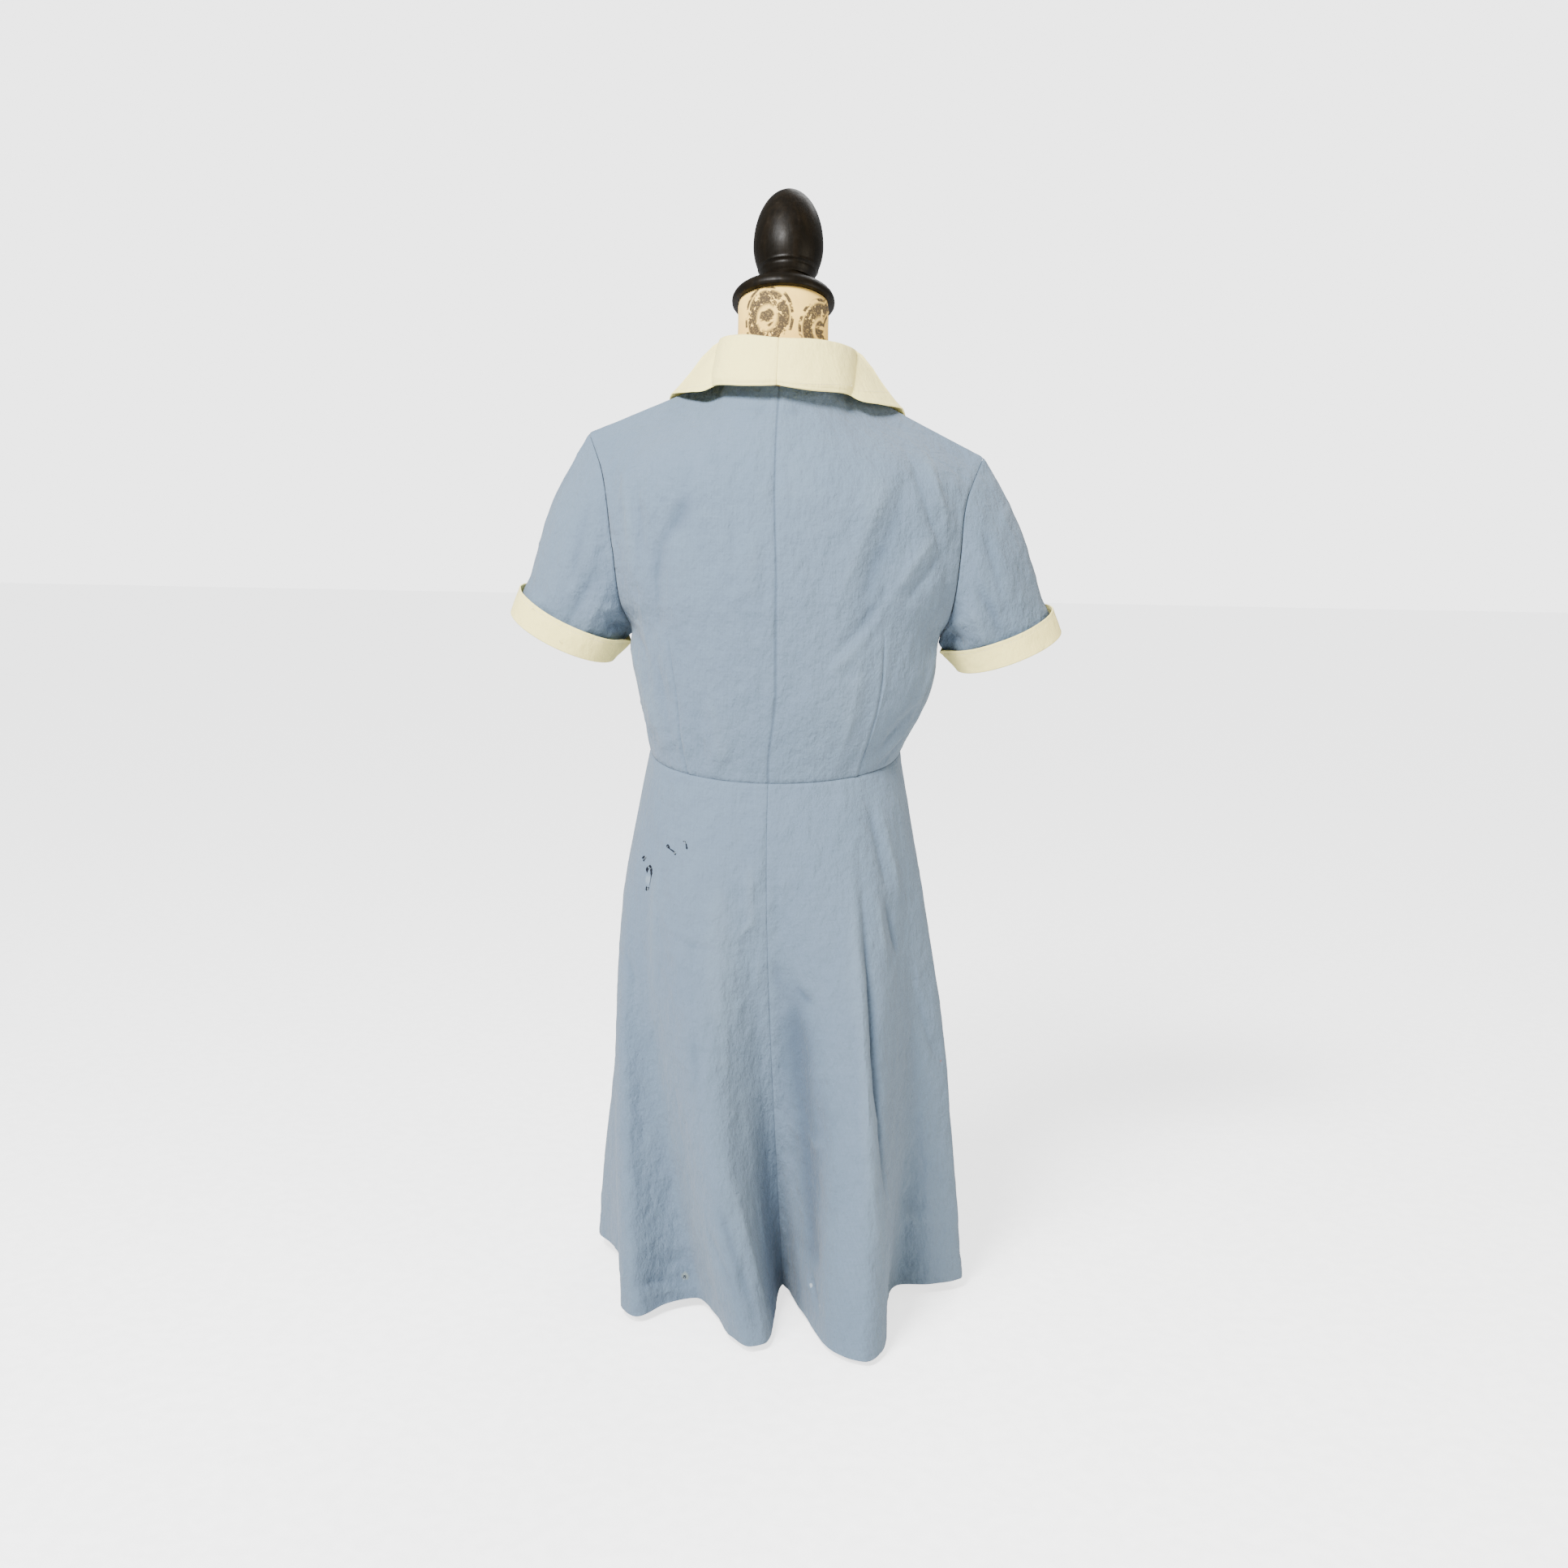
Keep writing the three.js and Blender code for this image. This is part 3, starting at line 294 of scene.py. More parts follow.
def surface_normal(surface, a, t, low, high):
    """The outward normal of surface(a, t), found inside the span of angles from low to high."""
    da = np.where(a < (low + high) / 2, 0.01, -0.01)
    dt = np.where(np.asarray(t) < 0.5, 1e-4, -1e-4)
    here = surface(a, t)
    along = (surface(a + da, t) - here) * np.sign(da)[..., None]
    up = (surface(a, t + dt) - here) * np.sign(dt)[..., None]
    return unit(np.cross(up, along))


def hang(p):
    """Points of the dress after it has sagged on its form."""
    at = {name: through(HANG["z"], HANG[name], p[..., 2]) for name in ("tilt", "sway", "turn")}
    fade = np.maximum(0, 1 - (p[..., 0] / TURN_HALF) ** 2)
    out = p.copy()
    out[..., 0] += at["sway"] + at["turn"] * p[..., 1] * fade
    out[..., 2] += at["tilt"] * p[..., 0]
    return out


def bodice_top(a, crossed=False):
    """The level where a bodice panel ends: its neckline, then the shoulder seam."""
    away = np.abs(a)
    front = away > SIDE
    s = np.where(front, 180 - away, away) / SIDE
    share = np.clip(s / NECKLINE_SHARE, 0, 1)
    back_top = 1 - BACK_NECK_DROP * np.cos(share * math.pi / 2)
    front_top = np.where(crossed, V_LEVEL, mix(V_LEVEL, 1, share**0.92))
    return np.where(share >= 0.999, 1, np.where(front, front_top, back_top))


def angle_at(x, t):
    """The angle off the centre front at which the body is x wide at level t."""
    tries = np.linspace(0, 12, 400)
    return float(np.interp(x, body(180 - tries, t)[:, 0], tries))


def skirt_folds():
    """Angles, x, y and z of the hem's folds, spread between seams by their length along the hem."""
    x, y, z = HEM_FOLDS["x"], HEM_FOLDS["y"], HEM_FOLDS["z"]
    seams = sorted(SEAM_FOLDS)
    angles = []
    for first, last in zip(seams, seams[1:] + [len(x)]):
        turn = [k % len(x) for k in range(first, last + 1)]
        lengths = np.hypot(np.diff(x[turn]), np.diff(y[turn]))
        way = np.concatenate([[0], np.cumsum(lengths)])
        angles += list(SEAM_FOLDS[first] + SIDE * way[:-1] / way[-1])
    angles = np.array(angles)
    ring = np.concatenate([angles[-2:] - 360, angles, angles[:2] + 360])
    return ring, *(np.concatenate([c[-2:], c, c[:2]]) for c in (x, y, z))


FOLD_RING = skirt_folds()


def skirt_section(a, v):
    """x and y of the plain skirt without folds."""
    turn = np.radians(a)
    power = 2 / SQUARENESS
    x, y = np.sin(turn), np.cos(turn)
    size = {name: through(SKIRT_SECTIONS["v"], SKIRT_SECTIONS[name], v) for name in SKIRT_SECTIONS}
    return (
        np.sign(x) * np.abs(x) ** power * np.where(x > 0, size["left"], size["right"]),
        np.sign(y) * np.abs(y) ** power * np.where(y > 0, size["back"], size["front"]),
    )


def skirt(a, v):
    """Points of the skirt at angles a and shares v from the waist seam (0) to the hem (1)."""
    a, v = np.broadcast_arrays(np.asarray(a, float), np.asarray(v, float))
    wrapped = a % 360
    waist = body(wrapped, 0)
    plain = skirt_section(wrapped, v)
    hem = skirt_section(wrapped, np.ones_like(v))
    grown = np.clip((v - FOLD_START) / (1 - FOLD_START), 0, 1) ** FOLD_GROWTH
    x, y, z = (through(FOLD_RING[0], column, wrapped) for column in FOLD_RING[1:])
    return np.stack(
        [plain[0] + (x - hem[0]) * grown, plain[1] + (y - hem[1]) * grown, mix(waist[..., 2], z, v)], -1
    )


def armhole(f):
    """The armhole's edge at f, from the shoulder tip (0) down the back to the underarm (0.5) and up."""
    back = f <= 0.5
    place = np.where(back, 1 - f * 2, f * 2 - 1)
    rows = np.array([0.37, 0.43, 0.51, 0.6, 0.69, 0.78, 0.86, 0.93, 0.97, 1])
    t = np.interp(place * (len(rows) - 1), np.arange(len(rows)), rows)
    return body(np.where(back, SIDE, SIDE + 1e-6), t)


def sleeve(f, g):
    """Points of the left sleeve, f round it and g down it."""
    f, g = np.broadcast_arrays(np.asarray(f, float) % 1, np.asarray(g, float))
    turn = f * 2 * math.pi
    e = SLEEVE_END
    across, back = np.cos(turn) * e["half"], np.sin(turn)
    level = math.hypot(1, e["slope"])
    end = np.stack(
        [
            e["x"] + across / level,
            e["y"] + back * e["deep"],
            e["z"] + across * e["slope"] / level - back * e["drop"],
        ],
        -1,
    )
    top = 0.5 + 0.5 * np.cos(turn)
    swell = np.sin(math.pi * np.minimum(g * 1.25, 1)) * mix(2, 8, top)
    out = unit(np.stack([0.5 * top + 0.1, back, 0.45 * top], -1))
    return mix(armhole(f), end, g[..., None]) + out * swell[..., None]


def collar_size(q, column):
    """One of the collar's sizes at q along it."""
    return through(COLLAR_SECTIONS["q"], COLLAR_SECTIONS[column], q)


def under_collar(q, w):
    """Points and normals of the body under the collar's fall, from the neckline (0) to its edge (1)."""
    q, w = np.broadcast_arrays(np.asarray(q, float), np.asarray(w, float))
    front = q > SHOULDER_Q
    along = (q - SHOULDER_Q) / (1 - SHOULDER_Q)
    s = np.where(front, mix(NECKLINE_SHARE, COLLAR_END, along), NECKLINE_SHARE * q / SHOULDER_Q)
    top = bodice_top(np.where(front, 180 - SIDE * s, SIDE * s))
    across = mix(s, collar_size(q, "s"), w) * SIDE
    a = np.where(front, 180 - across, across)
    t = np.minimum(mix(top, collar_size(q, "t"), w), 1)
    n = surface_normal(body, a, t, np.where(front, SIDE, 0), np.where(front, 180, SIDE))
    n[..., 1] *= ease(np.abs(q - SHOULDER_Q), 0, 0.16)
    return body(a, t), unit(n)


def collar(q, k):
    """Middle of the collar's cloth: k from 0 at the neckline to 1 at the roll, and to 2 at the edge."""
    q, k = np.broadcast_arrays(np.asarray(q, float), np.asarray(k, float))
    stand, lean = collar_size(q, "stand")[..., None], collar_size(q, "lean")[..., None]
    foot, foot_n = under_collar(q, np.zeros_like(q))
    flat = unit(foot * (1, 1, 0) - (0, NECK_AXIS, 0))
    up = np.array([0, 0, 1.0])
    on = under_collar(np.minimum(q + 0.01, 1), 0 * q)[0] - under_collar(np.maximum(q - 0.01, 0), 0 * q)[0]
    opening = unit(np.cross(on, foot_n))
    opening *= np.where(opening[..., 2:] < 0, -1, 1)
    clear = (GAP + mix(0.8, 1.5, ease(q, 0.26, 0.42)))[..., None]
    rise = k[..., None]
    standing = foot - foot_n * (CLOTH / 2) + opening * clear + up * stand * rise + flat * lean * rise**2
    w = np.clip(k - 1, 0, 1)
    under, under_n = under_collar(q, w**1.25)
    left = ((1 - w) ** 1.3)[..., None]
    bow = lean * left + (lean * 0.18 + 1) * np.sin(math.pi * w)[..., None] ** 0.5
    lift = collar_size(q, "lift") * np.minimum(1, w * mix(1.2, 4, ease(q, 0.15, 0.45)))
    falling = under + under_n * lift[..., None] + up * (stand + GAP) * left + flat * bow
    falling[..., 1] += collar_size(q, "back") * w
    falling[..., 2] -= collar_size(q, "drop") * w
    return np.where(rise <= 1, standing, falling)


# ---- creases, set on the surfaces ----
# Each crease is its width and depth in mm (a ridge above 0, a trough below), how much it starts and ends
# at full depth, then the angles and levels that it runs through.
BACK_CREASES = (
    (13, -2.2, 0.2, 0.6, (34, 0.8), (46, 0.66), (55, 0.57), (49, 0.4)),  # left soft fold
    (9, 1.6, 0.1, 0.1, (76, 0.9), (74, 0.7), (72, 0.5)),  # left shoulder ridge
    (8, -1.4, 0.1, 0.1, (66, 0.86), (66, 0.66), (65, 0.5)),  # left shoulder trough
    (9, -2.0, 0.9, 0.1, (80, 0.38), (64, 0.34), (54, 0.27)),  # left underarm fold
    (7, 1.4, 0.9, 0.1, (84, 0.33), (68, 0.27), (60, 0.18)),  # left underarm ridge
    (9, 1.5, 0.3, 0.5, (74, 0.26), (60, 0.16), (52, 0.07)),  # left side drag
    (6, -1.1, 0.4, 0.6, (84, 0.13), (70, 0.07), (55, 0.02)),  # left waist drag
    (8, -1.5, 0.1, 0.5, (53, 0.36), (47, 0.2), (44, 0.05)),  # left dart side trough
    (10, 0.9, 0.0, 0.0, (11, 0.68), (8, 0.5), (9, 0.32)),  # left middle fold
    (9, -0.9, 0.0, 0.0, (20, 0.74), (16, 0.5), (18, 0.3)),  # left middle trough
    (8, 0.9, 0.0, 0.5, (24, 0.28), (20, 0.15), (17, 0.02)),  # left waist soft fold
    (7, -0.9, 0.0, 0.5, (30, 0.24), (27, 0.12), (25, 0.02)),  # left waist soft trough
    (15, -2.2, 0.0, 0.0, (-57, 0.92), (-48, 0.68), (-34, 0.5), (-20, 0.34)),  # right long drag
    (13, 1.8, 0.0, 0.0, (-48, 0.9), (-38, 0.66), (-24, 0.48), (-12, 0.36)),  # right long ridge
    (7, -1.8, 0.2, 0.1, (-54, 0.93), (-63, 0.82), (-72, 0.71), (-82, 0.6)),  # right shoulder drag
    (8, 1.6, 0.2, 0.1, (-62, 0.95), (-72, 0.83), (-84, 0.7)),  # right shoulder ridge
    (8, 1.9, 0.1, 0.1, (-38, 0.42), (-58, 0.58), (-76, 0.75)),  # right armhole drag
    (7, -1.9, 0.1, 0.1, (-46, 0.42), (-64, 0.55), (-82, 0.7)),  # right armhole trough
    (6, -1.5, 0.6, 0.0, (-44, 0.49), (-27, 0.39), (-13, 0.29)),  # right low drag
    (6, 1.2, 0.6, 0.0, (-40, 0.44), (-25, 0.34), (-14, 0.25)),  # right low ridge
    (9, -2.2, 0.8, 0.1, (-84, 0.38), (-78, 0.27), (-70, 0.13)),  # right underarm fold
    (8, 2.0, 0.6, 0.1, (-76, 0.4), (-68, 0.27), (-62, 0.14)),  # right underarm ridge
    (5, -1.6, 0.5, 0.8, (-82, 0.14), (-64, 0.05), (-46, 0.0)),  # right waist gather one
    (5, 1.4, 0.3, 0.8, (-78, 0.18), (-60, 0.08), (-46, 0.02)),  # right waist gather two
    (6, -1.3, 0.2, 0.6, (-72, 0.24), (-56, 0.13), (-46, 0.05)),  # right waist gather three
    (7, 1.3, 0.1, 0.3, (-28, 0.36), (-27, 0.18), (-28, 0.03)),  # right dart ridge
    (7, -0.8, 0.0, 0.0, (-26, 0.97), (0, 0.93), (26, 0.96)),  # nape fold
)
FRONT_CREASES = (
    (14, -1.8, 0.2, 0.1, (96, 0.45), (120, 0.36), (142, 0.28)),  # left bust drag
    (12, 1.6, 0.3, 0.1, (98, 0.36), (122, 0.28), (140, 0.2)),  # left bust ridge
    (12, 1.6, 0.1, 0.0, (128, 0.93), (124, 0.72), (132, 0.5)),  # left shoulder fold
    (10, -1.4, 0.1, 0.0, (118, 0.9), (113, 0.7), (116, 0.52)),  # left shoulder trough
    (9, -1.6, 0.1, 0.7, (128, 0.24), (134, 0.12), (138, 0.0)),  # left waist drag
    (8, 1.2, 0.1, 0.7, (148, 0.24), (148, 0.12), (149, 0.0)),  # left waist ridge
    (8, -1.1, 0.0, 0.1, (158, 0.36), (166, 0.24), (164, 0.1)),  # left placket fold
    (14, -1.8, 0.2, 0.1, (-95, 0.47), (-117, 0.38), (-140, 0.31)),  # right bust drag
    (11, 1.6, 0.3, 0.1, (-97, 0.38), (-120, 0.3), (-138, 0.19)),  # right bust ridge
    (12, 1.7, 0.1, 0.0, (-130, 0.92), (-121, 0.7), (-127, 0.5)),  # right shoulder fold
    (10, -1.3, 0.1, 0.0, (-117, 0.92), (-110, 0.7), (-112, 0.55)),  # right shoulder trough
    (9, -1.5, 0.1, 0.7, (-125, 0.26), (-130, 0.13), (-136, 0.0)),  # right waist drag
    (8, 1.3, 0.1, 0.7, (-146, 0.28), (-144, 0.14), (-146, 0.0)),  # right waist ridge
    (7, 1.0, 0.7, 0.0, (-176, 0.39), (-162, 0.42), (-150, 0.44)),  # button pull one
    (6, -1.0, 0.7, 0.0, (-176, 0.22), (-163, 0.24), (-150, 0.22)),  # button pull two
)
SKIRT_CREASES = (
    (5, -1.5, 0.1, 0.1, (-1, 0.14), (-2, 0.2), (-1, 0.29)),  # middle seam pucker one
    (6, 1.6, 0.1, 0.1, (3.5, 0.12), (4.5, 0.2), (3.5, 0.3)),  # middle seam pucker two
    (4, 1.2, 0.1, 0.1, (1.5, 0.24), (7, 0.27), (10, 0.29)),  # middle seam pucker three
    (5, 1.8, 0.1, 0.1, (2.2, 0.3), (2.6, 0.35), (2.2, 0.4)),  # slit lip
    (4, -2.2, 0.1, 0.1, (-1.2, 0.31), (-1.6, 0.36), (-1.2, 0.4)),  # slit shadow
    (3, -0.8, 0.2, 0.2, (11, 0.055), (5, 0.062), (-1, 0.068)),  # level crease one
    (4, -0.8, 0.2, 0.2, (42, 0.285), (26, 0.3), (12, 0.305)),  # level crease two
    (4, 0.7, 0.1, 0.1, (44, 0.272), (28, 0.288), (16, 0.292)),  # level crease three
    (16, 1.8, 0.0, 0.3, (16, 0.1), (17, 0.3), (20, 0.6)),  # left middle soft fold
    (14, -1.6, 0.0, 0.3, (26, 0.14), (30, 0.4), (34, 0.7)),  # left middle soft trough
    (14, 1.6, 0.0, 0.2, (48, 0.1), (50, 0.3), (55, 0.55)),  # left hip fold
    (5, -1.4, 0.1, 0.1, (71, 0.34), (66, 0.38), (61, 0.43)),  # left side crease
    (5, -1.6, 0.1, 0.6, (71, 0.93), (64, 0.955), (57, 0.97)),  # left hem crease one
    (5, 1.3, 0.1, 0.6, (70, 0.955), (63, 0.975), (56, 0.985)),  # left hem crease two
    (4, -1.1, 0.1, 0.3, (66, 0.91), (60, 0.925), (55, 0.94)),  # left hem crease three
    (9, -1.8, 0.0, 0.4, (33, 0.7), (29, 0.83), (27, 0.97)),  # left lobe drape one
    (8, 1.6, 0.0, 0.4, (27, 0.68), (24, 0.83), (22, 0.97)),  # left lobe drape two
    (6, -1.2, 0.1, 0.1, (40, 0.78), (34, 0.86), (31, 0.93)),  # left lobe drape three
    (24, -3.8, 0.1, 0.6, (-3.5, 0.28), (-8.5, 0.46), (-11, 0.65), (-15, 0.86)),  # right blue trough
    (6, -3.8, 0.1, 0.2, (-36, 0.12), (-36.5, 0.39), (-39, 0.65), (-44, 0.8)),  # right sharp crease
    (8, 3.2, 0.1, 0.2, (-32, 0.12), (-32.5, 0.39), (-34, 0.65), (-37, 0.8)),  # right sharp ridge
    (8, -2.2, 0.1, 0.1, (-44, 0.03), (-47, 0.12), (-52, 0.24)),  # right hip crease one
    (8, 1.8, 0.1, 0.1, (-51, 0.04), (-54, 0.14), (-60, 0.26)),  # right hip ridge one
    (7, -2.4, 0.1, 0.1, (-47, 0.2), (-52, 0.28), (-56, 0.37)),  # right hip crease two
    (8, 1.6, 0.1, 0.1, (-41, 0.17), (-44, 0.27), (-47, 0.38)),  # right hip ridge two
    (7, -1.5, 0.1, 0.1, (-66, 0.4), (-70, 0.5), (-76, 0.58)),  # right side crease
    (6, -1.4, 0.1, 0.1, (-60, 0.8), (-66, 0.84), (-72, 0.86)),  # right low crease
    (5, 1.2, 0.1, 0.1, (-60, 0.83), (-66, 0.865), (-73, 0.885)),  # right low ridge
    (4, -1.4, 0.1, 0.3, (-14, 0.9), (-17, 0.93), (-20, 0.945)),  # frayed pucker one
    (4, 1.3, 0.1, 0.3, (-12, 0.915), (-15, 0.94), (-17, 0.96)),  # frayed pucker two
    (5, -1.5, 0.1, 0.1, (-8, 0.36), (-12, 0.39), (-17, 0.39)),  # right valley pucker
    (5, 1.3, 0.1, 0.1, (-9, 0.62), (-14, 0.66), (-19, 0.64)),  # right valley ripple
    (18, 2.0, 0.0, 0.2, (118, 0.1), (120, 0.35), (122, 0.6)),  # front left soft fold
    (15, -2.0, 0.0, 0.3, (168, 0.08), (172, 0.3), (173, 0.6)),  # front middle crease
    (17, 2.0, 0.0, 0.2, (222, 0.1), (220, 0.3), (218, 0.58)),  # front right soft fold
    (5, -0.9, 0.1, 0.1, (150, 0.4), (170, 0.42), (190, 0.41)),  # front level crease
    (7, -1.5, 0.1, 0.2, (204, 0.8), (214, 0.86), (222, 0.9)),  # front low ripple
    (6, 1.3, 0.1, 0.2, (142, 0.86), (150, 0.9), (156, 0.94)),  # front hem ripple
    (12, -1.6, 0.0, 0.1, (98, 0.14), (102, 0.3), (100, 0.5)),  # left side soft fold
    (12, -1.8, 0.0, 0.1, (262, 0.16), (256, 0.32), (254, 0.5)),  # right side soft fold
)
SLEEVE_CREASES = (
    (9, -1.5, 0.1, 0.1, (0.16, 0.1), (0.2, 0.4), (0.22, 0.7)),  # cap trough
    (9, -2.0, 0.1, 0.3, (0.3, 0.16), (0.27, 0.5), (0.25, 0.9)),  # back fold
    (8, 1.6, 0.1, 0.3, (0.35, 0.2), (0.33, 0.5), (0.31, 0.85)),  # back ridge
    (7, -2.0, 0.5, 0.1, (0.47, 0.1), (0.42, 0.4), (0.4, 0.7)),  # underarm fold
    (6, 1.4, 0.3, 0.1, (0.43, 0.08), (0.38, 0.3), (0.35, 0.5)),  # underarm ridge
    (9, -1.8, 0.1, 0.3, (0.68, 0.2), (0.72, 0.5), (0.75, 0.85)),  # front fold
    (8, 1.4, 0.1, 0.3, (0.62, 0.2), (0.66, 0.5), (0.68, 0.8)),  # front ridge
    (8, -1.3, 0.1, 0.1, (0.84, 0.12), (0.81, 0.4), (0.8, 0.65)),  # front cap trough
)
COLLAR_CREASES = (
    (12, -0.35, 0.1, 0.1, (0.06, 1.5), (0.14, 1.55), (0.22, 1.6)),  # back dent
    (14, 0.35, 0.1, 0.1, (0.27, 1.15), (0.3, 1.5), (0.3, 1.9)),  # shoulder bend
    (12, -0.5, 0.1, 0.1, (0.52, 1.2), (0.56, 1.5), (0.62, 1.9)),  # front bend
)
DARTS = {
    1: ((36.5, 0.0), (38.5, 0.17), (41.0, 0.33), (47.0, 0.395)),
    -1: ((40.0, 0.0), (37.5, 0.28), (38.0, 0.41)),
}


def near_path(p, path):
    """Distance of each point from a path of points in mm, and its share of the way along it."""
    best = np.full(p.shape[:-1], 1e9)
    share = np.zeros(p.shape[:-1])
    lengths = np.linalg.norm(np.diff(path, axis=0), axis=1)
    total = lengths.sum()
    done = 0.0
    for start, end, length in zip(path[:-1], path[1:], lengths):
        way = (end - start) / length
        along = np.clip((p - start) @ way, 0, length)
        distance = np.linalg.norm(p - start - along[..., None] * way, axis=-1)
        closer = distance < best
        best = np.where(closer, distance, best)
        share = np.where(closer, (done + along) / total, share)
        done += length
    return best, share


def curve_through(points, count=24):
    """A smooth run of count places through a few places."""
    points = np.array(points, float)
    keys = np.linspace(0, 1, len(points))
    at = np.linspace(0, 1, count)
    if len(points) < 3:
        return np.stack([np.interp(at, keys, column) for column in points.T], -1)
    bend = np.polynomial.polynomial.Polynomial.fit
    return np.stack([bend(keys, column, len(points) - 1)(at) for column in points.T], -1)


def creased(surface, p, rows, strength=1.0):
    """How far creases push points p of a surface out, in mm."""
    out = np.zeros(p.shape[:-1])
    for width, depth, start, end, *places in rows:
        run = curve_through(places)
        distance, share = near_path(p, surface(run[:, 0], run[:, 1]))
        fade_in = start + (1 - start) * ease(share, 0, 0.4)
        fade_out = end + (1 - end) * ease(1 - share, 0, 0.4)
        round_off = 0.3 * width
        fall = (np.hypot(distance, round_off) - round_off) / (0.7 * width)
        out += strength * depth * fade_in * fade_out * np.exp(-fall)
    return out


def lattice(seed):
    """Random numbers on a cube of 64 places a side."""
    return np.random.default_rng(seed).uniform(-1, 1, (64, 64, 64))


def uneven(p, size, seed, stretch=(1, 1, 1)):
    """Smooth noise from -1 to 1 over points in mm; size is the distance between its lattice's places."""
    places = p / (size * np.array(stretch)) + 200
    cell = np.floor(places).astype(int)
    u = places - cell
    u = u * u * u * (u * (6 * u - 15) + 10)
    grid = lattice(seed)
    out = np.zeros(p.shape[:-1])
    for corner in np.ndindex(2, 2, 2):
        weight = np.prod(np.where(np.array(corner) == 1, u, 1 - u), axis=-1)
        k = (cell + corner) % 64
        out += weight * grid[k[..., 0], k[..., 1], k[..., 2]]
    return out


def drape_noise(p, seed, calm=1.0):
    """The unevenness of worn cotton: soft billows, then crinkles that run mostly down the cloth."""
    billow = uneven(p, 60, seed, (1, 1, 1.6))
    ripple = uneven(p, 24, seed + 1, (1, 1, 1.9))
    crinkle = uneven(p, 9, seed + 2, (1, 1, 1.5))
    patches = 0.35 + 0.65 * ease(uneven(p, 75, seed + 3), -0.25, 0.35)
    ridges = (1 - np.abs(uneven(p, 34, seed + 4, (1, 1, 1.5)))) ** 6
    fine_ridges = (1 - np.abs(uneven(p, 15, seed + 5, (1, 1, 1.3)))) ** 5
    creasing = patches * (0.75 * ridges + 0.5 * fine_ridges)
    return calm * (1.3 * billow + 0.6 * ripple + 0.32 * crinkle + creasing)


# ---- meshes from grids of points -------------
def grid_normals(p, ring=False):
    """Outward normals of a grid whose rows go up and whose columns go round to the left."""
    if ring:
        wide = np.concatenate([p[:, -2:], p, p[:, :2]], axis=1)
        return grid_normals(wide)[:, 2:-2]
    up = np.gradient(p, axis=0)
    along = np.gradient(p, axis=1)
    return unit(np.cross(along, up))


def lengths_along(p, axis):
    """Running length along rows or columns of a grid."""
    steps = np.linalg.norm(np.diff(p, axis=axis), axis=-1)
    pad = [(0, 0), (0, 0)]
    pad[axis] = (1, 0)
    return np.cumsum(np.pad(steps, pad), axis=axis)


def put(name, data):
    """A new object in the scene."""
    made = bpy.data.objects.new(name, data)
    bpy.context.scene.collection.objects.link(made)
    return made


def mesh_object(name, points, faces, uv=None, attributes=None, smooth_angle=40):
    """A named mesh from points in mm; uv has a place in mm for each point."""
    mesh = bpy.data.meshes.new(name)
    points = np.asarray(points, float) * MM
    faces = np.asarray(faces)
    a, b, c = (points[faces[:, k]] for k in (0, 1, 2))
    volume = np.sum(np.cross(a, b) * c)
    if faces.shape[1] == 4:
        volume += np.sum(np.cross(a, c) * points[faces[:, 3]])
    if volume < 0:
        faces = faces[:, ::-1]
    mesh.vertices.add(len(points))
    mesh.vertices.foreach_set("co", points.ravel())
    corners = faces.shape[1]
    mesh.loops.add(faces.size)
    mesh.loops.foreach_set("vertex_index", faces.ravel().astype(np.int32))
    mesh.polygons.add(len(faces))
    mesh.polygons.foreach_set("loop_start", np.arange(0, faces.size, corners, dtype=np.int32))
    mesh.update(calc_edges=True)
    if uv is not None:
        layer = mesh.uv_layers.new(name="Cloth")
        layer.data.foreach_set("uv", (np.asarray(uv) * MM)[faces.ravel()].astype(np.float32).ravel())
    for key, values in (attributes or {}).items():
        mesh.attributes.new(key, "FLOAT", "POINT").data.foreach_set("value", values.astype(np.float32))
    mesh.validate()
    mesh.shade_smooth()
    mesh.set_sharp_from_angle(angle=math.radians(smooth_angle))
    return put(name, mesh)


# The order of a face's corners, seen from its other side.
FLIPPED = [0, 3, 2, 1]


def grid_quads(at, rows, columns):
    """The faces of a grid whose corner in row j and column i is point at(j, i)."""
    j, i = np.meshgrid(np.arange(rows), np.arange(columns), indexing="ij")
    return np.stack([at(j, i), at(j, i + 1), at(j + 1, i + 1), at(j + 1, i)], -1).reshape(-1, 4)


def shell(name, outer, inner, relief, seam=None, ring=False):
    """A closed cloth shell between two grids, with how far each place is raised and how near a seam it is."""
    rows, count = outer.shape[:2]
    spans = count if ring else count - 1
    top = rows - 1
    at = lambda layer, j, i: (layer * rows + j) * count + i % count
    quads = [
        grid_quads(lambda j, i: at(0, j, i), top, spans),
        grid_quads(lambda j, i: at(1, j, i), top, spans)[:, FLIPPED],
        grid_quads(lambda layer, i: at(1 - layer, 0, i), 1, spans),
        grid_quads(lambda layer, i: at(layer, top, i), 1, spans),
    ]
    if not ring:
        quads.append(grid_quads(lambda layer, j: at(layer, j, 0), 1, top))
        quads.append(grid_quads(lambda layer, j: at(1 - layer, j, count - 1), 1, top))
    points = np.concatenate([outer.reshape(-1, 3), inner.reshape(-1, 3)])
    uv = np.stack([lengths_along(outer, 1), lengths_along(outer, 0)], -1).reshape(-1, 2)
    near = np.zeros(outer.shape[:2]) if seam is None else seam
    values = {"relief": np.append(relief, -relief), "seam": np.append(near, near)}
    return mesh_object(name, points, np.concatenate(quads), np.concatenate([uv, uv]), values)


# ---- the cloth pieces ------------------------
def settings():
    """The sizes and colours in the panel."""
    return bpy.context.scene.dress


def layers(p, n, offset, thickness):
    """Outer and inner grids of a cloth whose outer face is moved out by offset, hung on the form."""
    outer = hang(p + n * offset[..., None])
    inner = hang(p + n * (offset - thickness)[..., None])
    return outer, inner


